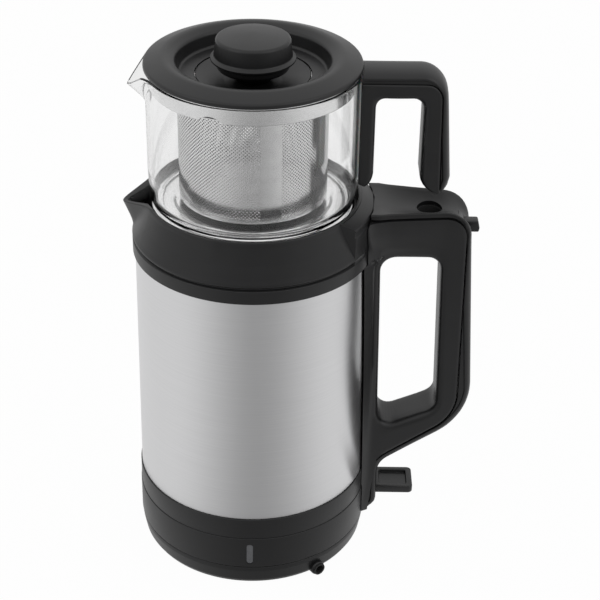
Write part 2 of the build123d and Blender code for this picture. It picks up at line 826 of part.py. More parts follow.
# Screws from inside the cap into the collar's block.
with BuildPart() as handle_screws:
    for spot in screw_spots:
        with Locations(Location((cap_root + 0.9, spot[1], spot[2]), (0, 90, 0))):
            Cylinder(2.8, 1.6)
        with Locations(Location((cap_root + 0.1, spot[1], spot[2]), (0, -90, 0))):
            Cylinder(1.6, 10, align=(Align.CENTER, Align.CENTER, Align.MIN))
handle_screws.part.label = "handle_screws"
export_step(handle_screws.part, "parts/handle_screws.step")

# ---------------------------------------------------------------- lid release button

rod_x = pivot_x + 1.0
catch_top = ledge_z + 4.0
with BuildPart() as lid_button:
    block((button_back, -button_half, button_low), (button_face, button_half, button_high))
    fillet(lid_button.edges().filter_by(lambda e: e.center().X > button_face - 0.1), 1.2)
    block((rod_x, -bar_half, button_low), (button_back + 1, bar_half, button_low + bar_t))
    block((rod_x, -bar_half, button_low), (rod_x + 2.4, bar_half, catch_top))
    block((rod_x - 2.1, -bar_half, catch_top - 2.8), (rod_x + 2.4, bar_half, catch_top))
lid_button.part.label = "lid_button"
export_step(lid_button.part, "parts/lid_button.step")

# Return spring round the bar, between the frame's rib and the button.
spring_r = 4.9
spring_wire = 0.5
spring_from = rib_x + spring_wire + 0.05
spring_to = button_back - spring_wire - 0.05
with BuildPart() as button_spring:
    with BuildLine():
        start = (spring_from, 0, button_low + bar_t / 2)
        coil = Helix(2.1, spring_to - spring_from, spring_r, center=start, direction=(1, 0, 0))
    with BuildSketch(Plane(coil @ 0, z_dir=coil % 0)):
        Circle(spring_wire)
    sweep(path=coil)
button_spring.part.label = "button_spring"
export_step(button_spring.part, "parts/button_spring.step")

# ---------------------------------------------------------------- switch lever

paddle_x = spine_part_x + 0.9
paddle_mid = (paddle_x + lever_reach) / 2
paddle_t = 4.5
recess = 2.0
with BuildPart() as switch_lever:
    with BuildSketch(Plane.XY.offset(pivot_z - 2.0)):
        with Locations((paddle_mid, 0)):
            RectangleRounded(lever_reach - paddle_x, 2 * lever_half, 3)
    extrude(amount=paddle_t)
    with BuildSketch(Plane.XY.offset(pivot_z - 2.0 + paddle_t)):
        with Locations((paddle_mid + 0.5, 0)):
            RectangleRounded(lever_reach - paddle_x - 8.5, 2 * lever_half - 7.2, 1.6)
    extrude(amount=-recess, mode=Mode.SUBTRACT)
    block((pivot_x - 3.2, -lever_root_half, pivot_z - 1.6), (paddle_x + 2, lever_root_half, pivot_z + 1.6))
    with Locations(Location((pivot_x, 0, pivot_z), (90, 0, 0))):
        Cylinder(3.0, 2 * lever_root_half)
        Cylinder(pivot_r, 2 * lever_root_half, mode=Mode.SUBTRACT)
    block((control_r + 5, -3, pivot_z - 1.5), (pivot_x - 2.5, 3, pivot_z + 1.5))
switch_lever.part.label = "switch_lever"
export_step(switch_lever.part, "parts/switch_lever.step")

with BuildPart() as lever_pin:
    with Locations(Location((pivot_x, 0, pivot_z), (90, 0, 0))):
        Cylinder(pivot_r - pin_fit, 2 * (lever_root_half + free + ear_t))
lever_pin.part.label = "lever_pin"
export_step(lever_pin.part, "parts/lever_pin.step")

# ---------------------------------------------------------------- kettle lid under the teapot

lid_low = ledge_z + 0.3
lid_high = glass_z - 0.3
with BuildPart() as kettle_lid:
    turn(
        (0, lid_high - 1.0),
        (lid_plug_r - 6.8, lid_high - 1.0, 1),
        (lid_plug_r - 5.8, lid_high, 0.5),
        (mouth_r - 0.4, lid_high, 0.6),
        (mouth_r - 0.4, lid_low),
        (lid_plug_r, lid_low),
        (lid_plug_r, ledge_z - 8, 0.5),
        (lid_plug_r - lid_sheet, ledge_z - 8),
        (lid_plug_r - lid_sheet, lid_high - 1.0 - lid_sheet, 1),
        (0, lid_high - 1.0 - lid_sheet),
    )
kettle_lid.part.label = "kettle_lid"
export_step(kettle_lid.part, "parts/kettle_lid.step")

with BuildPart() as kettle_lid_seal:
    turn(
        (lid_plug_r, ledge_z - 2.2),
        (ledge_r - 0.4, ledge_z - 1.6, 0.3),
        (ledge_r - 0.4, ledge_z - 0.8, 0.3),
        (lid_plug_r, ledge_z - 0.2),
    )
kettle_lid_seal.part.label = "kettle_lid_seal"
export_step(kettle_lid_seal.part, "parts/kettle_lid_seal.step")

# ---------------------------------------------------------------- teapot

lip_z = glass_top - 20.6
lip_root_x = -glass_r + 16.2
lip_wall = 2.4
lip_shell = beak(lip_root_x, (-glass_r - 0.3, 12, lip_z), (-glass_r - 23.6, 29.6, glass_top), 4.0)
lip_hollow = beak(
    lip_root_x,
    (-glass_r - 0.3 + lip_wall, 12 - lip_wall, lip_z + 1),
    (-glass_r - 23.6 + lip_wall, 29.6 - lip_wall, glass_top + 0.5),
    3.0,
)
glass_floor = glass_z + 3.0
with BuildPart() as glass_bore:
    with Locations((0, 0, glass_floor + 25)):
        Cylinder(glass_r - glass_wall, glass_h, align=(Align.CENTER, Align.CENTER, Align.MIN))

with BuildPart() as teapot_glass:
    turn(
        (0, glass_z),
        (glass_r - 1.0, glass_z, 9),
        (glass_r, glass_z + 22, 20),
        (glass_r, glass_top, 0.9),
        (glass_r - glass_wall, glass_top, 0.9),
        (glass_r - glass_wall, glass_z + 22, 18),
        (glass_r - glass_wall - 1.0, glass_floor, 7),
        (0, glass_floor),
    )
    add(lip_shell)
    add(glass_bore.part, mode=Mode.SUBTRACT)
    add(lip_hollow, mode=Mode.SUBTRACT)
    spread(
        40,
        (pot_tip_x - 15, pot_tip_z - 1.5),
        (pot_tip_x, pot_tip_z),
        (-glass_r - 1.2, glass_top + 0.6),
        (-glass_r - 1.2, glass_top + 6),
        (pot_tip_x - 15, glass_top + 6),
        mode=Mode.SUBTRACT,
    )
teapot_glass.part.label = "teapot_glass"
export_step(teapot_glass.part, "parts/teapot_glass.step")

pad_t = 0.5
pad_skin = glass_r + pad_t
leg_x = glass_r + 8.3
leg_low = glass_z + 12.9
pot_gap_top = pot_part_z - 8.2
pot_gap_x = leg_x + 26.9
pot_back = (glass_r + 53.6, glass_z + 7.6)
pot_top_x = pot_back[0] - 5.4
pot_handle_top = pot_part_z + pot_cover_t
pot_shell = 2.6
pot_hull = (
    (hidden_x, pot_handle_top),
    (pot_top_x, pot_handle_top, 16),
    (*pot_back, 5),
    (pot_gap_x, pot_back[1], 9),
    (pot_gap_x, pot_gap_top, 6),
    (leg_x, pot_gap_top, 6),
    (leg_x, leg_low, 5),
    (hidden_x, leg_low),
)


def pot_parting(gap):
    """Region inside the line between the teapot handle's frame and cover, grown by a gap."""
    return (
        (0, pot_part_z + gap),
        (pot_top_x - 2.6 + gap, pot_part_z + gap, 9),
        (pot_back[0] - 6.3 + gap, pot_back[1] - 9),
        (0, pot_back[1] - 9),
    )


with BuildPart() as pot_hollow:
    spread(pot_handle_half - pot_shell, *pot_parting(0.3))
    spread(
        20,
        (0, pot_back[1] - 13),
        (0, pot_gap_top + pot_shell),
        (pot_gap_x + pot_shell, pot_gap_top + pot_shell, 9),
        (pot_gap_x + pot_shell, pot_back[1] - 13),
        mode=Mode.SUBTRACT,
    )
    block((0, -20, glass_z), (pad_skin + 3, 20, pot_handle_top), Mode.SUBTRACT)
    block((0, -20, pot_back[1] - 10), (pot_back[0], 20, pot_back[1] + 3), Mode.SUBTRACT)

pot_screw_x = (leg_x + 7.5, pot_gap_x - 8.4)

# Everything inside the teapot handle's parting line.
with BuildPart() as pot_inside:
    spread(20, *pot_parting(0))

with BuildPart() as teapot_handle_frame:
    spread(pot_handle_half, *pot_hull)
    add(pot_inside.part, mode=Mode.INTERSECT)
    add(pot_hollow.part, mode=Mode.SUBTRACT)
    Cylinder(pad_skin, 3 * glass_top, mode=Mode.SUBTRACT)
    for x in pot_screw_x:
        with Locations((x, 0, pot_gap_top)):
            Cylinder(1.5, 8, mode=Mode.SUBTRACT)
            Cylinder(2.7, 2.8, mode=Mode.SUBTRACT)
teapot_handle_frame.part.label = "teapot_handle_frame"
export_step(teapot_handle_frame.part, "parts/teapot_handle_frame.step")

# Crowned strip over the handle's top and back, with two bosses for the screws.
boss_low = pot_gap_top + 3.0
with BuildPart() as teapot_handle_cover:
    spread(pot_handle_half - 0.4, *pot_hull)
    top_edges = teapot_handle_cover.faces().sort_by(Axis.Z)[-1].edges().filter_by(Axis.X)
    fillet(top_edges, 4.6)
    spread(30, *pot_parting(fit), mode=Mode.SUBTRACT)
    for x in pot_screw_x:
        with Locations((x, 0, boss_low)):
            Cylinder(3.4, pot_part_z + 2 - boss_low, align=(Align.CENTER, Align.CENTER, Align.MIN))
            Cylinder(1.25, 2 * (pot_part_z + 1 - boss_low), mode=Mode.SUBTRACT)
    Cylinder(lid_r + free, 3 * glass_top, mode=Mode.SUBTRACT)
teapot_handle_cover.part.label = "teapot_handle_cover"
export_step(teapot_handle_cover.part, "parts/teapot_handle_cover.step")

# Clear bonding pad between the glass and the handle's inner leg.
pad_low = leg_low + 4.1
pad_high = pot_part_z - 0.6
with BuildPart() as handle_pad:
    turn((glass_r, pad_low), (pad_skin, pad_low), (pad_skin, pad_high), (glass_r, pad_high))
    with Locations((glass_r, 0, (pad_low + pad_high) / 2)):
        Box(20, 18, pad_high - pad_low, mode=Mode.INTERSECT)
handle_pad.part.label = "handle_pad"
export_step(handle_pad.part, "parts/handle_pad.step")

with BuildPart() as teapot_handle_screws:
    for x in pot_screw_x:
        with Locations((x, 0, pot_gap_top + 0.2)):
            Cylinder(2.4, 1.1, align=(Align.CENTER, Align.CENTER, Align.MIN))
        with Locations((x, 0, pot_gap_top + 1.3)):
            Cylinder(1.2, 6, align=(Align.CENTER, Align.CENTER, Align.MIN))
teapot_handle_screws.part.label = "teapot_handle_screws"
export_step(teapot_handle_screws.part, "parts/teapot_handle_screws.step")

# ---------------------------------------------------------------- infuser

band_r = glass_r - glass_wall - 1.2
rim_low = glass_top + 0.35
band_low = glass_top - band_drop
notch_angle = -112.0

with BuildPart() as infuser_band:
    turn(
        (band_r - mesh_sheet, rim_low + mesh_sheet),
        (glass_r - 0.4, rim_low + mesh_sheet),
        (glass_r - 0.4, rim_low),
        (band_r, rim_low, 0.5),
        (band_r, band_low, 0.5),
        (basket_r, band_low),
        (basket_r, band_low + mesh_sheet),
        (band_r - mesh_sheet, band_low + mesh_sheet, 0.3),
    )
    with Locations(Rotation(0, 0, notch_angle)):
        with Locations(Location((band_r, 0, band_low), (0, 90, 0))):
            Cylinder(4.5, 6, mode=Mode.SUBTRACT)
infuser_band.part.label = "infuser_band"
export_step(infuser_band.part, "parts/infuser_band.step")

with BuildPart() as infuser_basket:
    turn(
        (basket_r - mesh_sheet, basket_bottom),
        (basket_r, basket_bottom),
        (basket_r, band_low),
        (basket_r - mesh_sheet, band_low),
    )
infuser_basket.part.label = "infuser_basket"
export_step(infuser_basket.part, "parts/infuser_basket.step")

with BuildPart() as infuser_floor:
    turn(
        (0, basket_bottom),
        (basket_r - mesh_sheet, basket_bottom),
        (basket_r - mesh_sheet, basket_bottom + 4.0),
        (basket_r - 2 * mesh_sheet, basket_bottom + 4.0),
        (basket_r - 2 * mesh_sheet, basket_bottom + mesh_sheet, 0.5),
        (0, basket_bottom + mesh_sheet),
    )
infuser_floor.part.label = "infuser_floor"
export_step(infuser_floor.part, "parts/infuser_floor.step")

# ---------------------------------------------------------------- teapot lid

lid_z = rim_low + mesh_sheet + free  # lower edge of the lid's rim
skirt_r = band_r - mesh_sheet - 0.6
disc_z = lid_z - 4.8
disc_low = disc_z - 4.4  # dish under the knob
neck_r_low = knob_r - 14.6
knob_z = lid_z + 3.5
lid_wall = 2.0
crest_r = lid_r - 11.6
dish_edge = disc_r + 9.3

# Outer ring of the lid: rolled rim, crest, slope into the dish and the plug skirt underneath.
with BuildPart() as lid_ring:
    turn(
        (lid_r, lid_z, 0.6),
        (lid_r, lid_z + 2.6, 2),
        (crest_r, lid_z + 6.8, 7),
        (dish_edge + 1.5, lid_z + 3.6, 3),
        (dish_edge, disc_z, 2),
        (disc_r, disc_z),
        (disc_r, disc_z - lid_wall),
        (dish_edge + 0.7, disc_z - lid_wall, 2),
        (dish_edge + 3.4, lid_z + 2.8, 2),
        (crest_r, lid_z + 4.4, 5),
        (skirt_r - lid_wall, lid_z + 2.4, 1),
        (skirt_r - lid_wall, lid_z - 8.5),
        (skirt_r, lid_z - 8.5),
        (skirt_r, lid_z),
    )
lid_ring.part.label = "lid_ring"
export_step(lid_ring.part, "parts/lid_ring.step")

with BuildPart() as lid_seal:
    turn(
        (skirt_r - lid_wall - 0.9, lid_z - 8.0),
        (skirt_r - lid_wall, lid_z - 8.0),
        (skirt_r - lid_wall, lid_z - 3.0),
        (skirt_r - lid_wall - 0.9, lid_z - 3.0),
    )
lid_seal.part.label = "lid_seal"
export_step(lid_seal.part, "parts/lid_seal.step")

with BuildPart() as lid_disc:
    turn(
        (2.2, disc_low),
        (neck_r_low + 6.9, disc_low, 4),
        (disc_r - fit, disc_z - 0.3),
        (disc_r - fit, disc_z - lid_wall),
        (neck_r_low + 6.9, disc_low - lid_wall, 4),
        (2.2, disc_low - lid_wall),
    )
lid_disc.part.label = "lid_disc"
export_step(lid_disc.part, "parts/lid_disc.step")

# Goblet neck: a cone that opens into a round bowl under the knob's cap.
with BuildPart() as knob_neck:
    turn(
        (2.2, disc_low),
        (neck_r_low, disc_low, 0.4),
        (knob_r - 9.6, disc_low + 5.4, 3),
        (knob_r - 3.4, disc_low + 7.4, 3),
        (knob_r - 3.0, knob_z, 0.4),
        (2.2, knob_z),
    )
knob_neck.part.label = "knob_neck"
export_step(knob_neck.part, "parts/knob_neck.step")

# Cap of the knob: upright wall with a thin flange at its foot and a crowned top.
with BuildPart() as knob_cap:
    turn(
        (0, knob_z + 5.5),
        (1.3, knob_z + 5.5),
        (1.3, knob_z),
        (knob_r, knob_z, 0.4),
        (knob_r, knob_z + 1.1, 0.4),
        (knob_r - 2.0, knob_z + 2.4, 1.2),
        (knob_r - 3.0, knob_z + 12.6, 2.2),
        (0, knob_z + 15.6),
    )
knob_cap.part.label = "knob_cap"
export_step(knob_cap.part, "parts/knob_cap.step")

with BuildPart() as knob_screw:
    with Locations((0, 0, disc_low - lid_wall)):
        Cylinder(4.0, 1.8, align=(Align.CENTER, Align.CENTER, Align.MAX))
        Cylinder(1.25, knob_z + 5 - disc_low + lid_wall, align=(Align.CENTER, Align.CENTER, Align.MIN))
knob_screw.part.label = "knob_screw"
export_step(knob_screw.part, "parts/knob_screw.step")
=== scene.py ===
"""Electric tea maker: steel kettle on a power base, glass teapot and infuser standing in its collar."""

import math

import bmesh
import bpy
import numpy as np
from mathutils import Matrix, Vector


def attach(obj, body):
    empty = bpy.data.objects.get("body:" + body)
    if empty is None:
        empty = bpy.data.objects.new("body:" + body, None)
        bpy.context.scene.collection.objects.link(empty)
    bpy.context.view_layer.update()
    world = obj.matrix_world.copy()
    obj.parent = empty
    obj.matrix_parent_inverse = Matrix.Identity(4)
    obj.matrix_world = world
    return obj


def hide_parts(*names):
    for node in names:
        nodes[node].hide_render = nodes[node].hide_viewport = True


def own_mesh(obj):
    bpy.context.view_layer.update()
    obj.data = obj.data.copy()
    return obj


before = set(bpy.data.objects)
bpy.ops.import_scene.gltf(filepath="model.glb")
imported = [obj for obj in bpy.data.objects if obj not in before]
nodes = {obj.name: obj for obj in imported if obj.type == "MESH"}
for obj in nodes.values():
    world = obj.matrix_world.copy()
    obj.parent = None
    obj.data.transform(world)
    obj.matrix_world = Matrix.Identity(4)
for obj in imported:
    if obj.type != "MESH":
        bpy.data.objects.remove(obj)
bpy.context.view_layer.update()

# ---- Power base ----
# A shell moulded from black ABS, with a sunk deck and a lug that the cord leaves by. A plate is screwed
# into it from below and stands on rubber feet. The connector's hub rises through the deck's boss.

MM = 0.001  # every size below is in millimetres


def linear(code):
    """sRGB hex colour as linear RGBA."""
    shares = [int(code[i : i + 2], 16) / 255 for i in (1, 3, 5)]
    return (*[s / 12.92 if s <= 0.04045 else ((s + 0.055) / 1.055) ** 2.4 for s in shares], 1.0)


def add_node(owner, kind, inputs=None, **settings):
    """Adds a node. Inputs are values, or the sockets or nodes (by their first output) that feed it."""
    tree = getattr(owner, "node_tree", owner)
    made = tree.nodes.new(kind)
    for name, value in settings.items():
        setattr(made, name, value)
    for name, value in (inputs or {}).items():
        if isinstance(value, bpy.types.Node):
            value = value.outputs[0]
        if isinstance(value, bpy.types.NodeSocket):
            tree.links.new(value, made.inputs[name])
        else:
            made.inputs[name].default_value = value
    return made


def start_tree(owner):
    """Gives a new material or world an empty node tree."""
    owner.use_nodes = True
    owner.node_tree.nodes.clear()
    return owner


def finish(name, pattern, plain, tints=(), gloss=(), relief=None, grain=None, stretch=None):
    """Material with a noise over the piece, which blends two tints, varies the gloss and gives relief.

    Plain holds what is the same all over. The relief follows a noise of its own where grain is given.
    """
    made = start_tree(bpy.data.materials.new(name))
    where = add_node(made, "ShaderNodeTexCoord").outputs["Object"]
    if stretch:
        where = add_node(made, "ShaderNodeMapping", {"Vector": where, "Scale": stretch})
    noise = add_node(made, "ShaderNodeTexNoise", {"Vector": where, **pattern})
    varied = {}
    if tints:
        mix = {0: noise, 6: linear(tints[0]), 7: linear(tints[1])}
        varied["Base Color"] = add_node(made, "ShaderNodeMix", mix, data_type="RGBA").outputs[2]
    if gloss:
        drift = {"Value": noise, "To Min": gloss[0], "To Max": gloss[1]}
        varied["Roughness"] = add_node(made, "ShaderNodeMapRange", drift)
    if relief:
        height = add_node(made, "ShaderNodeTexNoise", {"Vector": where, **grain}) if grain else noise
        varied["Normal"] = add_node(made, "ShaderNodeBump", {"Height": height, **relief})
    surface = add_node(made, "ShaderNodeBsdfPrincipled", {**plain, **varied})
    add_node(made, "ShaderNodeOutputMaterial", {"Surface": surface})
    return made


def rounded(corners, steps=6, closed=True):
    """Outline from corners (u, v) or (u, v, radius), each radius drawn in the same number of steps."""
    points = []
    for i, corner in enumerate(corners):
        here = np.array(corner[:2], float)
        if len(corner) < 3 or not (closed or 0 < i < len(corners) - 1):
            points.append(here)
            continue
        back = np.array(corners[i - 1][:2], float) - here
        ahead = np.array(corners[(i + 1) % len(corners)][:2], float) - here
        back /= np.linalg.norm(back)
        ahead /= np.linalg.norm(ahead)
        half = math.acos(max(-1.0, min(1.0, float(back @ ahead)))) / 2
        middle = (back + ahead) / np.linalg.norm(back + ahead)
        centre = here + middle * corner[2] / math.sin(half)
        run = corner[2] / math.tan(half)
        first = here + back * run - centre
        last = here + ahead * run - centre
        start = math.atan2(first[1], first[0])
        sweep = (math.atan2(last[1], last[0]) - start + math.pi) % math.tau - math.pi
        for k in range(steps + 1):
            angle = start + sweep * k / steps
            points.append(centre + corner[2] * np.array([math.cos(angle), math.sin(angle)]))
    return np.array(points)


def new_object(name, data):
    """Object in the scene for a mesh, a lamp or a camera."""
    made = bpy.data.objects.new(name, data)
    bpy.context.collection.objects.link(made)
    return made


def make_piece(name, shape, sharp=35):
    """Turns a closed bmesh into an object, smooth but for its sharp edges."""
    bmesh.ops.remove_doubles(shape, verts=shape.verts, dist=1e-7)
    bmesh.ops.recalc_face_normals(shape, faces=shape.faces)
    mesh = bpy.data.meshes.new(name)
    shape.to_mesh(mesh)
    shape.free()
    mesh.shade_smooth()
    mesh.set_sharp_from_angle(angle=math.radians(sharp))
    return new_object(name, mesh)


def add_points(shape, spots):
    """Adds vertices to a bmesh at places in millimetres."""
    return [shape.verts.new([MM * c for c in spot]) for spot in spots]


def lathe(name, corners, turns=192, steps=6, centre=(0, 0), sharp=35):
    """Spins a closed (radius, height) outline about a vertical axis."""
    shape = bmesh.new()
    x, y = centre
    rings = []
    for radius, height in rounded(corners, steps):
        count = 1 if radius < 1e-6 else turns
        round_it = [math.tau * k / count for k in range(count)]
        ring = [(x + radius * math.cos(a), y + radius * math.sin(a), height) for a in round_it]
        rings.append(add_points(shape, ring))
    for ring, after in zip(rings, rings[1:] + rings[:1]):
        for k in range(turns):
            loop = (ring[k % len(ring)], ring[(k + 1) % len(ring)])
            loop += (after[(k + 1) % len(after)], after[k % len(after)])
            loop = list(dict.fromkeys(loop))
            if len(loop) > 2:
                shape.faces.new(loop)
    return make_piece(name, shape, sharp)


def settle(piece, sharp=35):
    """Applies the modifiers of a piece."""
    bpy.context.view_layer.update()
    plain = bpy.data.meshes.new_from_object(piece.evaluated_get(bpy.context.evaluated_depsgraph_get()))
    piece.modifiers.clear()
    piece.data = plain
    plain.shade_smooth()
    plain.set_sharp_from_angle(angle=math.radians(sharp))
    return piece


def carve(piece, tool, operation="DIFFERENCE", sharp=35):
    """Cuts a tool out of a piece, or joins it on, and drops the tool."""
    change = piece.modifiers.new("carve", "BOOLEAN")
    change.solver = "EXACT"
    change.operation = operation
    change.object = tool
    settle(piece, sharp)
    bpy.data.objects.remove(tool)
    return piece


def dress(piece, material, body, slot, *stands_for):
    """Gives a piece its material and body, and hides the CAD nodes that it stands for. Its slot is not
    used.
    """
    piece.data.materials.clear()
    piece.data.materials.append(material)
    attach(piece, body)
    if stands_for:
        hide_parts(*stands_for)
    return piece


def coat(material, *names):
    """Gives CAD nodes a material."""
    for name in names:
        for place in nodes[name].material_slots:
            place.material = material


# ABS moulded in a spark-eroded tool: near black, satin, with a fine pebble that spreads its highlights.
# The pebble is about 0.1 mm on the real one and is drawn at 0.5 mm; gloss drifts over some 15 mm.
black_abs = finish(
    "moulded_black_abs", {"Scale": 65.0, "Detail": 2.0},
    {"IOR": 1.53, "Specular IOR Level": 0.4},
    tints=("#131314", "#1a1a1b"), gloss=(0.33, 0.43),
    relief={"Strength": 0.12, "Distance": 0.0002},
    grain={"Scale": 2000.0, "Detail": 2.0},
)

# Black rubber, pressed: matt and slightly dusty.
pressed_rubber = finish(
    "pressed_black_rubber", {"Scale": 400.0, "Detail": 4.0},
    {"Roughness": 0.75, "IOR": 1.52},
    tints=("#131313", "#262626"),
    relief={"Strength": 0.2, "Distance": 0.0003},
)

# Zinc-plated steel of screws, pins and springs: pale grey metal with a slightly mottled plating.
zinc_plate = finish(
    "zinc_plated_steel", {"Scale": 900.0, "Detail": 3.0},
    {"Metallic": 1.0},
    tints=("#b4b6b8", "#cfd0d0"), gloss=(0.25, 0.45),
)

# Brass strip of the contacts, stamped: warm yellow metal, dulled in patches where it has been handled.
contact_brass = finish(
    "stamped_contact_brass", {"Scale": 300.0, "Detail": 4.0},
    {"Metallic": 1.0},
    tints=("#c9a557", "#dcbf7a"), gloss=(0.2, 0.5),
)

base_r = 71.5
base_top = 15.6
deck_z = 13.4
boss_r = 24.0
boss_top = 17.2
hub_r = 15.8
shell_wall = 2.2
lug_bearing = math.radians(-54)
lug_z = 5.3
lug_reach = 73.4
base_shell = lathe(
    "power_base_shell",
    (
        (hub_r + 0.7, boss_top), (boss_r - 0.8, boss_top, 1), (boss_r, deck_z, 0.6),
        (base_r - 5.2, deck_z, 0.4), (base_r - 4.6, base_top, 0.6), (base_r, base_top, 0.9),
        (base_r, 12.6, 3), (70.1, 5, 2), (68.2, 2, 0.8), (67.3, 2), (67.3, 5.2),
        (base_r - shell_wall, deck_z - shell_wall, 1), (boss_r - 2, deck_z - shell_wall),
        (boss_r - 2.8, boss_top - shell_wall), (hub_r + 0.7, boss_top - shell_wall),
    ),
)


def lay_out(bar, bearing, x, z):
    """Turns a lathe's axis to run outwards at a bearing, from a point of the middle plane."""
    along, across = math.cos(bearing), math.sin(bearing)
    turned = ((-across, 0, along, x * MM), (along, 0, across, 0), (0, 1, 0, z * MM), (0, 0, 0, 1))
    bar.data.transform(Matrix(turned))
    return bar


for name, radius, start, end, edge, change in (
    ("lug", 4.7, 66.4, lug_reach, 1.6, "UNION"), ("lug_bore", 4.05, 60, lug_reach + 2, 0, "DIFFERENCE"),
):
    bar = lathe(name, ((0, start), (radius, start), (radius, end, edge), (0, end)), turns=48)
    carve(base_shell, lay_out(bar, lug_bearing, 0, lug_z), change)
dress(base_shell, black_abs, "power_base", "black_plastic", "base_shell")
coat(black_abs, "base_plate", "base_connector")
coat(pressed_rubber, "base_feet", "cord_bush")
coat(zinc_plate, "base_screws")
coat(contact_brass, "base_contacts")

# ---- Connector half under the kettle ----
# A disc of glass-filled nylon with two brass rings and an earth pin, which lets the kettle turn on its
# base.

# Glass-filled nylon, moulded: dark grey and dull, with short pale fibres just under its skin.
filled_nylon = finish(
    "moulded_filled_nylon", {"Scale": 1200.0, "Detail": 5.0},
    {"Roughness": 0.6, "IOR": 1.53},
    tints=("#333336", "#4c4c50"),
    relief={"Strength": 0.15, "Distance": 0.0002},
)
coat(filled_nylon, "socket_disc")
coat(contact_brass, "socket_contacts")

# ---- Kettle housing and trim ring ----
# The black skirt that holds the heater's switchgear, with a slim window for the lamp, and a plain ring
# of the same ABS clipped between it and the steel.

housing_r = 72.0
kettle_z = 16.1
trim_z = 38.3
tube_z = 52.9
pivot_x = 66.0
pivot_z = 31.0
slot_half = 9.6
slot_low = 26.2
slot_high = 35.2
lens_low = 19.2
lens_high = 33.8
lens_half = 2.0
housing = lathe(
    "kettle_housing_skirt",
    (
        (housing_r - shell_wall, kettle_z), (housing_r, kettle_z, 0.9), (housing_r, trim_z, 0.5),
        (68.2, trim_z), (68.2, trim_z + 4.2), (66.3, trim_z + 4.2), (66.3, trim_z - 1.9),
        (housing_r - shell_wall, trim_z - 1.9), (housing_r - shell_wall, 22), (19.6, 22), (19.6, 20),
        (housing_r - shell_wall, 20),
    ),
)


def skin_over(name, sections, closed=True, sharp=35):
    """Closed mesh over a run of equal closed sections, a ring or a run with two flat ends."""
    shape = bmesh.new()
    loops = [add_points(shape, section) for section in sections]
    pairs = list(zip(loops, loops[1:] + loops[:1]))
    for ring, after in pairs if closed else pairs[:-1]:
        for k in range(len(ring)):
            n = (k + 1) % len(ring)
            shape.faces.new((ring[k], ring[n], after[n], after[k]))
    if not closed:
        shape.faces.new(loops[0])
        shape.faces.new(loops[-1])
    bmesh.ops.remove_doubles(shape, verts=shape.verts, dist=1e-6)
    bmesh.ops.dissolve_degenerate(shape, edges=shape.edges, dist=1e-6)
    return make_piece(name, shape, sharp)


def prism(name, outline, low, high, plane="XY"):
    """Extrudes a closed outline between two levels: (x, y) along Z, or (x, z) along Y."""
    ends = [[(u, v, z) if plane == "XY" else (u, z, v) for u, v in outline] for z in (low, high)]
    return skin_over(name, ends, closed=False)


def brick(name, low, high):
    """Rectangular block between two corners."""
    rectangle = (low[:2], (high[0], low[1]), high[:2], (low[0], high[1]))
    return prism(name, rectangle, low[2], high[2])


def rounded_box(low, high, radius):
    """Outline of a rectangle between two corners, with its corners rounded."""
    spots = (low, (high[0], low[1]), high, (low[0], high[1]))
    return rounded([(*spot, radius) for spot in spots], 8)


def lens_outline(gap):
    """Upright slot with round ends, wider than the lens by a gap all round."""
    half = lens_half + gap
    return rounded_box((-half, lens_low - gap), (half, lens_high + gap), half - 0.01)


carve(housing, brick("lever_opening", (69, -slot_half, slot_low), (76, slot_half, slot_high)))
carve(housing, prism("window", lens_outline(0.15), -76, -66, "XZ"))
for left, right in ((-11.45, -8.85), (8.85, 11.45)):
    carve(housing, brick("ear", (62.4, left, 21.5), (68.8, right, 34.2)), "UNION")
dress(housing, black_abs, "kettle", "black_plastic", "kettle_housing")
trim_ring = lathe(
    "kettle_trim_ring", ((69.3, trim_z), (71.7, trim_z, 0.5), (71.7, tube_z, 0.6), (69.3, tube_z))
)
dress(trim_ring, black_abs, "kettle", "black_plastic", "trim_ring")
coat(filled_nylon, "control_unit")
coat(zinc_plate, "control_screws", "lever_pin")

# ---- Indicator ----
# A light pipe of smoky acrylic that fills the window, with the lamp in its holder behind it.

# Smoky acrylic, moulded and polished: grey, glossy and slightly milky, so that the lamp shows evenly.
smoky_acrylic = finish(
    "moulded_smoky_acrylic", {"Scale": 250.0, "Detail": 2.0},
    {"Roughness": 0.22, "IOR": 1.49},
    tints=("#5a5b5e", "#6b6c6f"),
)
lens = prism("indicator_light_pipe", lens_outline(0), -71.6, -66.3, "XZ")
dress(lens, smoky_acrylic, "kettle", "lens", "indicator_lens")
coat(smoky_acrylic, "indicator_lamp")

# ---- Steel vessel and heater ----
# A tube of stainless sheet, rolled, welded and brushed round its circumference, necked in behind the
# trim ring. Its floor carries an aluminium heat plate and a sheathed element underneath.

# Stainless steel brushed round the tube with 180 grit, so highlights stretch up and down it. Scratches
# are 0.05 mm wide on the real one and are drawn 0.3 mm apart.
brushed_steel = finish(
    "brushed_stainless_steel", {"Scale": 1.0, "Detail": 4.0},
    {"Metallic": 1.0, "Anisotropic": 0.7, "Anisotropic Rotation": 0.25},
    tints=("#d4d4d5", "#e4e4e5"), gloss=(0.24, 0.4),
    relief={"Strength": 0.04, "Distance": 0.0001},
    stretch=(25.0, 25.0, 3300.0),
)
round_tube = add_node(brushed_steel, "ShaderNodeTangent", direction_type="RADIAL", axis="Z")
metal = brushed_steel.node_tree.nodes["Principled BSDF"]
brushed_steel.node_tree.links.new(round_tube.outputs[0], metal.inputs["Tangent"])

# Rolled aluminium plate: bright grey with faint straight rolling lines.
rolled_aluminium = finish(
    "rolled_aluminium", {"Scale": 1.0, "Detail": 3.0},
    {"Base Color": linear("#dadbdc"), "Metallic": 1.0},
    gloss=(0.3, 0.5),
    stretch=(40.0, 2500.0, 40.0),
)

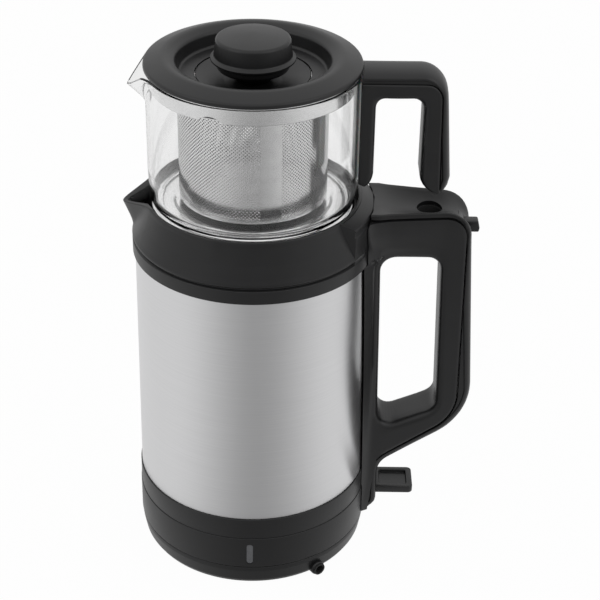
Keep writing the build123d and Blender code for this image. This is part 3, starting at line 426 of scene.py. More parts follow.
tube_r = 71.0
tube_top_r = 70.0
tube_top = 213.0
collar_z = 205.8
sheet = 0.6
steel_tube = lathe(
    "kettle_steel_tube",
    (
        (tube_r - 2, trim_z + 0.9), (tube_r - 2, tube_z + 0.15), (tube_r, tube_z + 0.15, 0.2),
        (tube_top_r, tube_top), (tube_top_r - sheet, tube_top), (tube_r - sheet, tube_z + 0.15 + sheet),
        (tube_r - 2 - sheet, tube_z + 0.15 + sheet), (tube_r - 2 - sheet, trim_z + 0.9),
    ),
    turns=256,
    steps=3,
)
dress(steel_tube, brushed_steel, "kettle", "steel", "steel_body")
coat(brushed_steel, "vessel_floor", "steam_tube")
coat(rolled_aluminium, "heat_spreader")
coat(zinc_plate, "heating_element")

# ---- Collar ----
# One moulding of black ABS pressed over the tube: skirt, bead, waisted wall, a seat for the teapot, the
# pouring spout and the block that the handle is screwed to. A silicone ring seals it to the steel.

rim_z = 241.0
ledge_z = 232.0
mouth_r = 61.9
cap_r = 71.85
bead_foot = 214.9
rod_low = 216.9
rod_half = 4.5
block_half = 39.3
# A spout is a triangle in plan: how far out its foot is, then its tip, its foot's half width and the
# height, low down and high up, and how round its tip is.
spout_outside = (56, (70.3, 11, 219), (79.5, 21.4, 241), 0.05)
spout_inside = (48, (67, 11.5, 219.5), (76.8, 22.5, 242), 0.03)
wall = rounded(
    (
        (71.5, collar_z), (71.5, 213.8, 0.5), (69.1, bead_foot, 0.5), (71.6, 216.5, 1.0),
        (71.4, 217.9, 1.2), (70.4, 220.4, 3), (67.6, 228.0, 9), (64.2, 238.0, 8), (63.6, rim_z - 0.6),
    ),
    closed=False,
)
heights = np.unique(np.round(np.concatenate([wall[:, 1], np.arange(216, 240, 1.5)]), 2))


def meet(a, b, soft):
    """Larger of two values, with a soft change from one to the other."""
    return (a + b + math.sqrt((a - b) ** 2 + soft * soft)) / 2


def lip_reach(angle, height, base, low, high, tip_round):
    """Radius of a spout at an angle off its axis and a height."""
    share = (height - low[2]) / (high[2] - low[2])
    tip = low[0] + share * (high[0] - low[0])
    half = low[1] + share * (high[1] - low[1])
    if math.cos(angle) < 0.3:
        return 0.0
    side = math.sqrt(math.sin(angle) ** 2 + tip_round**2) - tip_round
    return tip / (math.cos(angle) + (tip - base) / half * side)


def smooth_step(low, high, value):
    """Rises from 0 to 1 between two values."""
    share = min(1.0, max(0.0, (value - low) / (high - low)))
    return share * share * (3 - 2 * share)


def soften(piece, width, limit=40):
    """Rounds the edges of a piece that are sharper than a limit in degrees."""
    edge = piece.modifiers.new("soften", "BEVEL")
    edge.width = width * MM
    edge.segments = 3
    edge.limit_method = "ANGLE"
    edge.angle_limit = math.radians(limit)
    return settle(piece)


def collar_section(bearing):
    """Section of the collar at a bearing in degrees from the handle."""
    off = math.radians(180 - abs((bearing + 180) % 360 - 180))
    rim = rim_z
    for _ in range(12):
        reach = meet(63.4, lip_reach(off, rim, *spout_outside), 1.5)
        rim = min(rim_z, 240.1 + 0.373 * (61 - reach * math.cos(off)))
    squeeze = (rim - bead_foot) / (rim_z - bead_foot)
    points = []
    for height in heights:
        z = height if height < bead_foot else bead_foot + (height - bead_foot) * squeeze
        radius = np.interp(height, wall[:, 1], wall[:, 0])
        if z > bead_foot:
            spout = lip_reach(off, z, *spout_outside)
            radius = meet(radius, spout, 2.2 * min(1, (z - bead_foot) / 5)) if spout > 55 else radius
        points.append((radius, z))
    outer = points[-1][0]
    mouth = max(mouth_r, lip_reach(off, rim, *spout_inside))
    points += [(outer - 0.2, rim - 0.2), (outer - 0.6, rim), (mouth + 0.3, rim), (mouth, rim - 0.3)]
    poured = smooth_step(171, 171.8, 180 - math.degrees(off))
    floor = ledge_z + (220.5 - ledge_z) * poured
    for k in range(1, 9):
        z = rim - 0.3 + (floor - rim + 0.3) * k / 8
        widened = mouth_r + 4.1 * poured * smooth_step(232, 228, z)
        points.append((max(widened, lip_reach(off, z, *spout_inside)), z))
    ledge = ((54.3, ledge_z), (54.3, 229.6), (64.6, 229.6), (66.0, 225.6))
    points += [(r + (66 - r) * poured, z + (floor - z) * poured) for r, z in ledge]
    points += [(66.0, 204.5), (67.6, 204.5), (67.6, 213.6), (70.35, 213.6), (70.35, collar_z)]
    turn = math.radians(bearing)
    return [(r * math.cos(turn), r * math.sin(turn), z) for r, z in points]


bearings = np.concatenate([np.arange(-140, 140, 2.5), np.arange(140, 220, 0.8)])
collar = skin_over("kettle_collar", [collar_section(b) for b in bearings], sharp=40)
block = (
    (71.42, 212.0), (71.42, 231.0, 0.5), (70.9, 231.8, 0.4), (70.9, 235.0, 0.4), (71.4, 235.6, 0.3),
    (70.7, 236.7, 0.5), (64.2, 240.2, 2), (62.7, 240.3), (62.7, 232.6), (65.2, 230.2), (66.8, 226.2),
    (66.8, 212.0),
)
collar_block = lathe("collar_block", block, turns=288, sharp=40)
carve(collar_block, brick("block_width", (50, -block_half, 200), (80, block_half, 250)), "INTERSECT", 40)
soften(collar_block, 0.9, 60)
carve(collar, collar_block, "UNION", 40)
for name, low, high in (
    ("rod_slot", (mouth_r + 1.7, -rod_half, rod_low), (72.5, rod_half, 236.5)),
    ("nose_slot", (mouth_r - 1, -rod_half, 232.7), (mouth_r + 3, rod_half, 236.5)),
):
    carve(collar, brick(name, low, high), sharp=40)
dress(collar, black_abs, "kettle", "black_plastic", "collar")

# Silicone, pressed: milky and soft, with light bleeding through its edges.
pressed_silicone = finish(
    "pressed_silicone", {"Scale": 180.0, "Detail": 2.0},
    {"Base Color": linear("#dfdfdc"), "IOR": 1.41, "Subsurface Weight": 0.3, "Subsurface Scale": 0.002},
    gloss=(0.4, 0.55),
)
coat(pressed_silicone, "collar_seal", "kettle_lid_seal", "handle_pad", "lid_seal")

# ---- Kettle handle ----
# A frame of black ABS, with a spine against the steel and a grip, screwed to the collar. A second
# moulding covers it from the cap round the back to the spine's foot, and a fine groove parts the two.

spine_foot = 16.6
spine_top = 205.4
cap_half = 24.0
parting = 0.8
grip_round = 4.5
flare_x = (67.7, 72, 80, 95, 113, 140)


def kettle_reach(z):
    """Radius of the kettle that the handle's spine stays clear of."""
    if z < trim_z:
        return housing_r + 0.35
    return tube_r + 0.95 - max(0.0, z - tube_z) / (collar_z - tube_z)


def handle_half(x, z):
    """Half width of the kettle's handle at a place of its side view."""
    flare = np.interp(x, flare_x, (9.5, 7.6, 5.2, 2.9, 0.7, 0.0))
    side = 14.5 + flare * smooth_step(200, 226, z)
    up = (z - spine_foot) / (spine_top - spine_foot)
    if z <= spine_top:
        edge_x, edge_y = 73.9 - 0.7 * up, 14.0 + 1.8 * up
        wing = edge_y + (edge_x - x) * (7.5 + 18.3 * up) / (9.9 + 7.3 * up)
    else:
        wing = cap_half - (x - 67.7) * (0.68 + 1.9 * smooth_step(206, 226, z))
    return meet(side, wing, 1.6) - 0.15


def skin_edge(z, half, reach):
    """Distance out, at a height, where a handle's side meets a round body of a given radius."""
    y = 12.0
    for _ in range(40):
        y = (y + half(math.sqrt(reach**2 - y * y), z)) / 2
    return math.sqrt(reach**2 - y * y)


def stations(pairs, step):
    """Pairs of inner and outer polylines as equal runs of points, divided together."""
    inner, outer = [], []
    for first, second in pairs:
        first, second = np.array(first, float), np.array(second, float)
        size = max(np.linalg.norm(np.diff(line, axis=0), axis=1).sum() for line in (first, second))
        count = max(2, int(size / step) + 1)
        for line, store in ((first, inner), (second, outer)):
            gone = np.concatenate([[0], np.cumsum(np.linalg.norm(np.diff(line, axis=0), axis=1))])
            gone += np.arange(len(gone)) * 1e-9
            at = np.linspace(0, gone[-1], count)
            store += [(np.interp(a, gone, line[:, 0]), np.interp(a, gone, line[:, 1])) for a in at]
    return inner, outer


def frame_section(inner, outer, half, inner_round, outer_round, reach=None):
    """Section of a handle's frame from its grip to its outer edge, or to a round body of radius reach."""
    inner, outer = np.array(inner), np.array(outer)
    if reach:
        outer[0] = skin_edge(outer[1], half, reach)
    gap = np.linalg.norm(outer - inner)
    out = (outer - inner) / gap
    right = []
    h = half(*inner)
    r = min(inner_round, gap / 3)
    for k in range(6):
        a = math.pi / 2 * k / 5
        right.append((inner + out * r * (1 - math.cos(a)), h - r * (1 - math.sin(a))))
    edge = min(outer_round, gap / 4)
    for k in range(1, 9):
        spot = inner + out * (r + (gap - r - edge) * k / 8)
        right.append((spot, half(*spot)))
    h = half(*outer)
    right.append((outer - out * edge * 0.3, h - edge * 0.3))
    right.append((outer, h - edge))
    points = [(spot[0], y, spot[1]) for spot, y in right]
    across = points[-1][1]
    for k in range(1, 9):
        y = across * (1 - k / 4)
        x = math.sqrt(reach**2 - y * y) if reach else outer[0]
        points.append((x, y, outer[1]))
    points += [(spot[0], -y, spot[1]) for spot, y in reversed(right[:-1])]
    start = right[0][1]
    points += [(inner[0], start * (k / 2 - 1), inner[1]) for k in range(1, 4)]
    return points


def off_the_skin(points, radius):
    """Moves points of a handle out of the round body that it is fixed to."""
    return [(max(x, math.sqrt(max(0.0, radius**2 - y * y))), y, z) for x, y, z in points]


grip = rounded(((75.9, 204.2, 10), (111.6, 204.2, 8), (114.2, 96.4, 9), (78.4, 81.0, 8)), 8)
back = rounded(
    ((66, 233.1), (126.2, 232.1, 12), (127.8, 91.7, 30), (74, 55.1, 24), (74, spine_foot)), 10, False
)
skin_x = math.sqrt(cap_r**2 - cap_half**2)
low_left, mid_left, high_left = (
    [(skin_edge(z, handle_half, kettle_reach(z)), z) for z in levels]
    for levels in (np.linspace(spine_foot, 80, 12), np.linspace(80, 200, 8), (200, spine_top))
)
# Each corner of the grip has 9 points, and each bend of the back 11.
foot_corner = (74, spine_foot)
inner_line, outer_line = stations(
    (
        (grip[8:10], [(76, 233.0), back[1]]),
        (grip[9:18], back[1:12]), (grip[17:19], back[11:13]), (grip[18:27], back[12:23]),
        (grip[26:28], back[22:24]), (grip[27:32], [*back[23:34], foot_corner]),
        (grip[31:33], [foot_corner, low_left[0]]), (grip[32:36], low_left),
        ([grip[35], grip[0]], mid_left), (grip[0:3], high_left),
        (grip[2:6], [(skin_x, spine_top + 0.02), (skin_x, 233.1)]),
        (grip[5:9], [(skin_x, 233.1), (76, 233.0)]),
    ),
    2.6,
)
sections = []
for near, far in zip(inner_line, outer_line):
    on_skin = far[0] < 70.5 and far[1] < 233.05 and far[1] > spine_foot + 0.01
    if on_skin and far[1] > spine_top + 0.01:
        sections.append(frame_section(near, far, handle_half, grip_round, 0.9, cap_r))
    elif on_skin:
        sections.append(frame_section(near, far, handle_half, grip_round, 0.5, kettle_reach(far[1])))
    else:
        pull = parting / math.dist(near, far)
        far = (far[0] + (near[0] - far[0]) * pull, far[1] + (near[1] - far[1]) * pull)
        section = frame_section(near, far, handle_half, grip_round, 1.2)
        sections.append(off_the_skin(section, cap_r) if far[1] > spine_top else section)
handle_frame = skin_over("kettle_handle_frame", sections, sharp=40)
for name, low, high in (
    ("cap_hollow", (76, -11.2, 209), (121.5, 11.2, 240)),
    ("button_way", (113.5, -4.0, rod_low), (140, 4.0, rod_low + 8)),
    ("rod_way", (60, -rod_half, rod_low), (80, rod_half, 219.7)),
    ("lever_way", (60, -slot_half, slot_low), (90, slot_half, slot_high)),
):
    carve(handle_frame, brick(name, low, high), sharp=40)
dress(handle_frame, black_abs, "kettle", "black_plastic", "handle_frame")


def cover_half(x, z):
    """Half width of the kettle handle's cover, a little less than the frame's."""
    flare = np.interp(x, flare_x, (9.0, 7.4, 5.2, 2.9, 0.7, 0.0))
    return 14.0 + flare * smooth_step(200, 226, z)


def cover_section(near, far, half, dish, edge, rise, lip):
    """Section of a handle's cover from its parting line out to its face, dished and with round edges."""
    near, far = np.array(near, float), np.array(far, float)
    gap = np.linalg.norm(far - near)
    out = (far - near) / gap
    rise = min(rise, gap - 0.5)
    wide = half(*far) + lip
    low = gap - rise
    root = half(*near)
    profile = [(root - 0.7, 0.0), (root - 0.7, max(0.1, low - 1.0)), (wide, max(0.2, low - 0.3))]
    for k in range(11):
        a = math.pi / 2 * k / 10
        profile.append((wide - edge + edge * math.cos(a), low + rise * math.sin(a)))
    flat = wide - edge
    for k in range(1, 9):
        y = flat * (1 - k / 8)
        profile.append((y, gap - dish * (1 - (y / flat) ** 2)))
    under = min(0.0, gap - dish - 3.0)
    floor = [(flat * k / 4, under) for k in range(4)] + [(root - 2.2, under), (root - 2.0, 0.0)]
    loop = profile + [(-y, u) for y, u in reversed(profile[:-1])]
    loop += [(-y, u) for y, u in reversed(floor)] + floor[1:]
    return [(near[0] + out[0] * u, y, near[1] + out[1] * u) for y, u in loop]


hull = ((74.5, 236.9), (127.9, 235.9, 17), (136.6, 91.1, 42), (79.5, 53.8, 14), (79.5, 19, 7), (70.3, 19))
hull = rounded(hull, 10, False)
part = ((74.5, 233.2), (126.4, 232.3, 12), (128.0, 91.6, 30), (74.15, 55.05, 24), (74.15, 30))
part = rounded(part, 10, False)
pairs = [(part[a:b], hull[a:b]) for a, b in ((0, 2), (1, 12), (11, 13), (12, 23), (22, 24), (23, 34))]
pairs.append(([part[33], (74.15, 26.5)], hull[33:35]))
pairs.append(([(74.15, 26.5), (74.15, 20.4)], [*hull[34:42], (75.0, 19.35)]))
near_line, far_line = stations(pairs, 2.6)
well_x = 104
sections = []
for near, far in zip(near_line, far_line):
    bowl = max(0.0, 6.1 - (far[0] - well_x) ** 2 / 190) if far[1] > 215 else 0.0
    round_edge = 0.9 + 4.1 * smooth_step(234.5, 214, far[1]) - 2.2 * smooth_step(70, 45, far[1])
    lip = 0.45 * smooth_step(216, 234, far[1])
    sections.append(cover_section(near, far, cover_half, bowl, round_edge, round_edge, lip))
sections.insert(0, off_the_skin([(0.0, y, z) for x, y, z in sections[0]], cap_r))
handle_cover = skin_over("kettle_handle_cover", sections, closed=False, sharp=40)


def drill(piece, radius, low, high, x, turns, sharp):
    """Bores an upright hole on the middle plane."""
    bit = lathe("drill", ((0, low), (radius, low), (radius, high), (0, high)), turns, centre=(x, 0))
    carve(piece, bit, sharp=sharp)


drill(handle_cover, 7.55, 224, 245, well_x, 64, 40)
carve(handle_cover, brick("button_window", (115, -3.85, 216.95), (145, 3.85, 224.85)), sharp=40)
carve(handle_cover, brick("lever_window", (60, -11.35, slot_low), (90, 11.35, slot_high)), sharp=40)
dress(handle_cover, black_abs, "kettle", "black_plastic", "handle_cover")
well = lathe(
    "cap_well_cup",
    ((0, 219.9), (7.5, 219.9, 0.8), (7.5, 229.6, 0.2), (6.9, 229.6, 0.2), (6.9, 220.8, 1.5), (0, 220.8)),
    64,
    4,
    (well_x, 0),
)
dress(well, pressed_rubber, "kettle", "black_plastic", "cap_well")
coat(zinc_plate, "handle_screws")

# ---- Lid button ----
# A push button of black ABS at the handle's top back corner, with a rod that reaches the kettle lid's
# catch and a coil spring of hard-drawn wire behind it.

button_z = 217.3
side = ((121, button_z), (133.8, button_z, 1), (134.2, 219.8, 1.5), (133.2, 224.5, 1.2), (121, 224.5))
lid_button = prism("lid_release_button", rounded(side), -3.5, 3.5, "XZ")
soften(lid_button, 0.9)
for name, low, high in (
    ("bar", (67, -4, button_z), (122, 4, button_z + 2)),
    ("rod", (67, -4, button_z), (69.4, 4, 236)),
    ("nose", (64.9, -4, 233.2), (69.4, 4, 236)),
):
    carve(lid_button, brick(name, low, high), "UNION")
dress(lid_button, black_abs, "release_button", "black_plastic", "lid_button")

# The return spring is a coil of 1 mm wire that closes up as the button goes in.
spring_x = 114.05
spring_z = 218.3
spring_r = 4.9
spring_length = 6.4
spring_turns = 3.05
wire_r = 0.5
wire_steps = 144
coil = []
angles = [math.tau * n / 8 for n in range(8)]
for k in range(wire_steps + 1):
    turn = math.tau * spring_turns * k / wire_steps
    out = Vector((0, math.cos(turn), math.sin(turn)))
    middle = Vector((spring_x + spring_length * k / wire_steps, 0, spring_z)) + out * spring_r
    coil.append([middle + (out * math.cos(a) + Vector((math.sin(a), 0, 0))) * wire_r for a in angles])
spring = skin_over("button_return_spring", coil, closed=False)
dress(spring, zinc_plate, "kettle", "screw_steel", "button_spring")
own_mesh(spring)

# ---- Switch lever ----
# The heater's switch: a paddle of black ABS with a shallow thumb recess, on an arm that pivots on a pin
# inside the housing.

lever = prism("switch_lever_paddle", rounded_box((74.9, -11), (103.2, 11), 3), pivot_z - 2, pivot_z + 2.5)
carve(lever, prism("recess", rounded_box((81.8, -7.4), (99.4, 7.4), 1.6), pivot_z + 0.5, pivot_z + 4))
soften(lever, 0.6)
root = brick("lever_root", (62.8, -8.5, pivot_z - 1.6), (77, 8.5, pivot_z + 1.6))
carve(lever, soften(root, 0.5), "UNION")
boss = lathe("pivot_boss", ((0, -8.5), (3, -8.5, 0.4), (3, 8.5, 0.4), (0, 8.5)), 48)
carve(lever, lay_out(boss, math.pi / 2, pivot_x, pivot_z), "UNION")
carve(lever, brick("lever_arm", (29, -3, pivot_z - 1.5), (63.5, 3, pivot_z + 1.5)), "UNION")
dress(lever, black_abs, "lever", "black_plastic", "switch_lever")

# ---- Kettle lid ----
# Stainless cup pressed from sheet and polished, which closes the kettle and is the seat that the teapot
# stands on. A silicone ring seals it in the collar.

# Stainless steel sheet, deep-drawn and buffed: bright, nearly a mirror, with faint turned marks.
buffed_steel = finish(
    "buffed_stainless_steel", {"Scale": 120.0, "Detail": 5.0},
    {"Metallic": 1.0},
    tints=("#dadada", "#eaeaea"), gloss=(0.1, 0.22),
)
kettle_lid = lathe(
    "kettle_lid_cup",
    (
        (0, 235.7), (45.4, 235.7, 1.5), (47.4, 236.7, 1), (59.6, 236.7, 1.5), (59.6, 232.3),
        (52.8, 232.3, 0.4), (52.8, 224.0, 0.6), (51.0, 224.0, 0.6), (51.0, 233.9, 1.5), (0, 233.9),
    ),
)
dress(kettle_lid, buffed_steel, "lower_lid", "steel", "kettle_lid")

# ---- Teapot glass ----
# A jug of borosilicate glass, blown into a mould, with its lip drawn while the glass was hot. Its wall
# is 2 mm and its heel stands in the collar.

# Borosilicate glass: clear, hard and smooth, with a faint unevenness from blowing that bends reflections.
borosilicate = finish(
    "blown_borosilicate_glass", {"Scale": 35.0, "Detail": 1.0},
    {"Base Color": linear("#ffffff"), "Roughness": 0.0, "IOR": 1.47, "Transmission Weight": 1.0},
    relief={"Strength": 0.06, "Distance": 0.001},
)

glass_z = 237.0
glass_floor = 240.0
glass_r = 61.2
glass_wall = 2.0
glass_top = 319.6
heel_top = 280
jug_lip = (45, (61.5, 12, 299), (84.8, 29.6, glass_top), 0.05)


def glass_section(bearing):
    """Half section of the jug at a bearing in degrees, from under its foot over the rim to its floor."""
    off = math.radians(180 - abs((bearing + 180) % 360 - 180))
    rim = glass_top
    for _ in range(12):
        reach = meet(glass_r, lip_reach(off, rim, *jug_lip), 2.5) - 0.4
        rim = (rim + min(glass_top, 309 + 1.12 * (72.4 - reach * math.cos(off)))) / 2
    heel = ((0, glass_z), (glass_r - 1, glass_z, 7), (glass_r, 259, 20), (glass_r, heel_top))
    points = [tuple(p) for p in rounded(heel, 8, False)[1:]]
    for k in range(1, 31):
        z = heel_top + (rim - 0.9 - heel_top) * k / 30
        lip = lip_reach(off, z, *jug_lip) if z > 292 else 0.0
        soft = 2.5 * smooth_step(292, 302, z)
        points.append((max(glass_r, meet(glass_r, lip, soft) - 0.16 * soft) if lip > 50 else glass_r, z))
    outer = points[-1][0]
    for k in range(1, 8):
        a = math.pi * k / 7
        points.append((outer - 1 + math.cos(a), rim - 0.9 + 0.9 * math.sin(a)))
    for r, z in reversed([p for p in points if heel_top < p[1] < rim - 0.95]):
        points.append((r - glass_wall, z))
    inner_r = glass_r - glass_wall
    bowl = ((0, glass_floor), (58.2, glass_floor, 7), (inner_r, 259, 18), (inner_r, heel_top))
    points += [tuple(p) for p in rounded(bowl, 8, False)[:0:-1]]
    turn = math.radians(bearing)
    return [(r * math.cos(turn), r * math.sin(turn), z) for r, z in points]


shape = bmesh.new()
bearings = np.concatenate([np.arange(-130, 131, 2.5), np.arange(131.5, 228.6, 1.0)])
loops = [add_points(shape, glass_section(b)) for b in bearings]
foot, well = add_points(shape, ((0, 0, glass_z), (0, 0, glass_floor)))
for loop, after in zip(loops, loops[1:] + loops[:1]):
    for k in range(len(loop) - 1):
        shape.faces.new((loop[k], loop[k + 1], after[k + 1], after[k]))
    shape.faces.new((foot, loop[0], after[0]))
    shape.faces.new((well, after[-1], loop[-1]))
glass = make_piece("teapot_glass_jug", shape, 60)
dress(glass, borosilicate, "teapot", "glass", "teapot_glass")
glass.visible_shadow = False
glass.visible_diffuse = False

# ---- Teapot handle ----
# An open grip of black ABS in two mouldings like the kettle's, bonded to the glass through a clear
# silicone pad and closed by two screws from inside the grip.

pot_skin = 61.7
pot_half = 12.0
pot_cover_half = 11.6
near_pot = rounded(((69.5, 250), (69.5, 305.2, 6), (96.4, 305.2, 6), (96.4, 256.5)), 8, False)
far_pot = rounded(((72, 314.6), (106.8, 314.6, 9), (108.45, 246)), 8, False)
toe = [(65.0, 250.4), (67.2, 251.9), (68.8, 254.6), (69.5, 258)]
heel = [(96.4, 256.5), (97.1, 253.5), (98.8, 250.8), (101.2, 248.6), (104, 247.3), (106.5, 246.8)]
near_line, far_line = stations(
    (
        ([*toe, near_pot[1]], [(60.5, 252.5), (60.5, 300)]),
        (near_pot[1:6], [(60.5, 300), (60.5, 314.6)]),
        (near_pot[5:10], [(60.5, 314.6), (72, 314.6)]),
        (near_pot[9:11], far_pot[0:2]), (near_pot[10:19], far_pot[1:10]),
        (near_pot[18:20], [far_pot[9], (108.25, 256.5)]),
        (heel, [(108.25, 256.5), (108.45, 247.4)]),
    ),
    2.4,
)
sections = []
for near, far in zip(near_line, far_line):
    reach = pot_skin if far[0] < 61 and far[1] < 314.5 else None
    section = frame_section(near, far, lambda x, z: pot_half, 4.2, 1.3, reach)
    sections.append(off_the_skin(section, pot_skin))
pot_frame = skin_over("teapot_handle_frame_grip", sections, closed=False, sharp=50)
soften(pot_frame, 1.4, 60)
for x in (77.0, 88.0):
    drill(pot_frame, 2.7, 304, 307.8, x, 32, 50)
    drill(pot_frame, 1.5, 307, 316, x, 32, 50)
dress(pot_frame, black_abs, "teapot", "black_plastic", "teapot_handle_frame")

far_pot = rounded(((64, 321.8), (109.4, 321.8, 16), (114.05, 256)), 8, False)
near_pot = rounded(((64, 314.75), (106.95, 314.75, 9), (108.65, 256)), 8, False)
tail = [(114.05, 256), (113.0, 251.0), (111.6, 248.9), (109.9, 247.6)]
pairs = [(near_pot[a:b], far_pot[a:b]) for a, b in ((0, 2), (1, 10), (9, 11))]
near_line, far_line = stations([*pairs, ([(108.65, 256), (108.75, 248.3)], tail)], 2.4)
sections = []
for near, far in zip(near_line, far_line):
    crown = smooth_step(300, 316, far[1])
    edge, rise = 6.5 + 4.9 * crown, 3.8 + 0.9 * crown
    sections.append(cover_section(near, far, lambda x, z: pot_cover_half, 0.0, edge, rise, 0.35))
root = [(math.sqrt(62.5**2 - y * y), y, z) for x, y, z in sections[0]]
pot_cover = skin_over("teapot_handle_cover_strip", [root, *sections], closed=False, sharp=50)
dress(pot_cover, black_abs, "teapot", "black_plastic", "teapot_handle_cover")
coat(zinc_plate, "teapot_handle_screws")

# ---- Infuser ----
# A basket of perforated stainless sheet, rolled and seam-welded along a plain strip, with a pressed
# floor. It hangs in the glass from a wide neck band, whose flange lies on the rim.

band_r = 58.0
basket_r = 43.3
band_low = 309.5
basket_low = 242.2
mesh_sheet = 0.6
band = lathe(
    "infuser_neck_band",
    (
        (band_r - mesh_sheet, 320.5), (60.8, 320.5, 0.25), (60.8, 319.95, 0.25), (band_r, 319.95, 0.5),
        (band_r, band_low, 0.8), (basket_r, band_low), (basket_r, band_low + mesh_sheet),
        (band_r - mesh_sheet, band_low + mesh_sheet, 0.3),
    ),
)
notch_r = 10.0
notch_bearing = math.radians(-112)
notch = ((0, band_r - 4), (notch_r, band_r - 4), (notch_r, band_r + 4), (0, band_r + 4))
carve(band, lay_out(lathe("notch", notch, 64), notch_bearing, 0, band_low - 6.5))
dress(band, buffed_steel, "infuser", "mesh_steel", "infuser_band")

# The basket's holes are on a lattice of 1.4 mm on the real one, and are drawn 1.5 mm apart.
hole_pitch = 1.5
hole_low = 243.4
hole_high = 306.5
seam_bearing = math.radians(-75.0)
seam_width = 9.8


def perforated_tube():
    """Node tree: square cells standing on their corners, each with a hole, rolled into a tube."""
    tree = bpy.data.node_groups.new("perforated_tube", "GeometryNodeTree")
    tree.interface.new_socket("Geometry", in_out="OUTPUT", socket_type="NodeSocketGeometry")
    sizes = ("Radius", "Middle", "Half Height", "Half Arc", "Bearing", "Span", "Hole Share", "Thickness")
    kinds = {**dict.fromkeys(sizes, "Float"), "Corners": "Int", "Finish": "Material"}
    for name, kind in kinds.items():
        tree.interface.new_socket(name, in_out="INPUT", socket_type="NodeSocket" + kind)
    given = add_node(tree, "NodeGroupInput").outputs
    spans = {"Size X": given["Span"], "Size Y": given["Span"]}
    counts = {"Vertices X": given["Corners"], "Vertices Y": given["Corners"]}
    cells = add_node(tree, "GeometryNodeMeshGrid", {**spans, **counts})
    turned = add_node(tree, "GeometryNodeTransform", {"Geometry": cells, "Rotation": (0, 0, math.pi / 4)})
    place = add_node(tree, "GeometryNodeInputPosition")
    place = add_node(tree, "ShaderNodeSeparateXYZ", {0: place}).outputs
    outside = []
    for axis, limit in ((0, "Half Arc"), (1, "Half Height")):
        away = add_node(tree, "ShaderNodeMath", {0: place[axis]}, operation="ABSOLUTE")
        test = {0: away, 1: given[limit]}
        outside.append(add_node(tree, "FunctionNodeCompare", test, operation="GREATER_THAN"))
    drop = add_node(tree, "FunctionNodeBooleanMath", {0: outside[0], 1: outside[1]}, operation="OR")
    drop = {"Geometry": turned, "Selection": drop}
    kept = add_node(tree, "GeometryNodeDeleteGeometry", drop, domain="FACE")
    inset = {"Mesh": kept, "Offset Scale": 0.0, "Individual": True}
    inset = add_node(tree, "GeometryNodeExtrudeMesh", inset, mode="FACES").outputs
    hole = {"Geometry": inset["Mesh"], "Selection": inset["Top"], "Scale": given["Hole Share"]}
    hole = {"Geometry": add_node(tree, "GeometryNodeScaleElements", hole), "Selection": inset["Top"]}
    sheet = add_node(tree, "GeometryNodeDeleteGeometry", hole, domain="FACE")
    raised = {"Mesh": sheet, "Offset Scale": given["Thickness"], "Individual": False}
    raised = add_node(tree, "GeometryNodeExtrudeMesh", raised, mode="FACES")
    inside = add_node(tree, "GeometryNodeFlipFaces", {0: sheet})
    both = add_node(tree, "GeometryNodeJoinGeometry", {0: raised})
    tree.links.new(inside.outputs[0], both.inputs[0])
    closed = add_node(tree, "GeometryNodeMergeByDistance", {"Geometry": both, "Distance": 1e-6})
    angle = add_node(tree, "ShaderNodeMath", {0: place[0], 1: given["Radius"]}, operation="DIVIDE")
    angle = add_node(tree, "ShaderNodeMath", {0: angle, 1: given["Bearing"]})
    reach = add_node(tree, "ShaderNodeMath", {0: place[2], 1: given["Radius"]})
    spot = {2: add_node(tree, "ShaderNodeMath", {0: place[1], 1: given["Middle"]})}
    for axis, wave in enumerate(("COSINE", "SINE")):
        turn = add_node(tree, "ShaderNodeMath", {0: angle}, operation=wave)
        spot[axis] = add_node(tree, "ShaderNodeMath", {0: turn, 1: reach}, operation="MULTIPLY")
    wrapped = {"Geometry": closed, "Position": add_node(tree, "ShaderNodeCombineXYZ", spot)}
    rolled = add_node(tree, "GeometryNodeSetPosition", wrapped)
    real = add_node(tree, "GeometryNodeRealizeInstances", {"Geometry": rolled})
    dressed = add_node(tree, "GeometryNodeSetMaterial", {"Geometry": real, "Material": given["Finish"]})
    add_node(tree, "NodeGroupOutput", {"Geometry": dressed})
    return tree


corner_count = 160
basket_wall = new_object("infuser_basket_wall", bpy.data.meshes.new("infuser_basket_wall"))
rolling = basket_wall.modifiers.new("perforated_tube", "NODES")
rolling.node_group = perforated_tube()
inner_r = basket_r - mesh_sheet
values = {
    "Radius": inner_r * MM,
    "Middle": (hole_low + hole_high) / 2 * MM,
    "Half Height": (hole_high - hole_low) / 2 * MM,
    "Half Arc": (math.pi * inner_r - seam_width / 2) * MM,
    "Bearing": seam_bearing + math.pi,
    "Span": (corner_count - 1) * hole_pitch * MM,
    "Hole Share": 0.6,
    "Thickness": mesh_sheet * MM,
    "Corners": corner_count,
    "Finish": buffed_steel,
}
for socket in rolling.node_group.interface.items_tree:
    if socket.in_out == "INPUT":
        rolling[socket.identifier] = values[socket.name]
settle(basket_wall, 30)
dress(basket_wall, buffed_steel, "infuser", "mesh_steel", "infuser_basket")
near, far = inner_r - 0.05, basket_r + 0.05
for name, low, high in (("top", hole_high - 1.2, band_low + 0.1), ("bottom", basket_low, hole_low + 0.9)):
    ring = ((near, low), (far, low), (far, high), (near, high))
    dress(lathe(f"infuser_basket_{name}_edge", ring), buffed_steel, "infuser", "mesh_steel")
seam_half = (seam_width / 2 + 1.1) / basket_r
spread = [seam_bearing + seam_half * (k / 6 - 1) for k in range(13)]
strip = [(basket_r + 0.06, a) for a in spread] + [(inner_r - 0.06, a) for a in reversed(spread)]
strip = [(radius * math.cos(a), radius * math.sin(a)) for radius, a in strip]
weld = prism("infuser_weld_strip", strip, basket_low, band_low + 0.1)
dress(weld, buffed_steel, "infuser", "mesh_steel")
coat(buffed_steel, "infuser_floor")

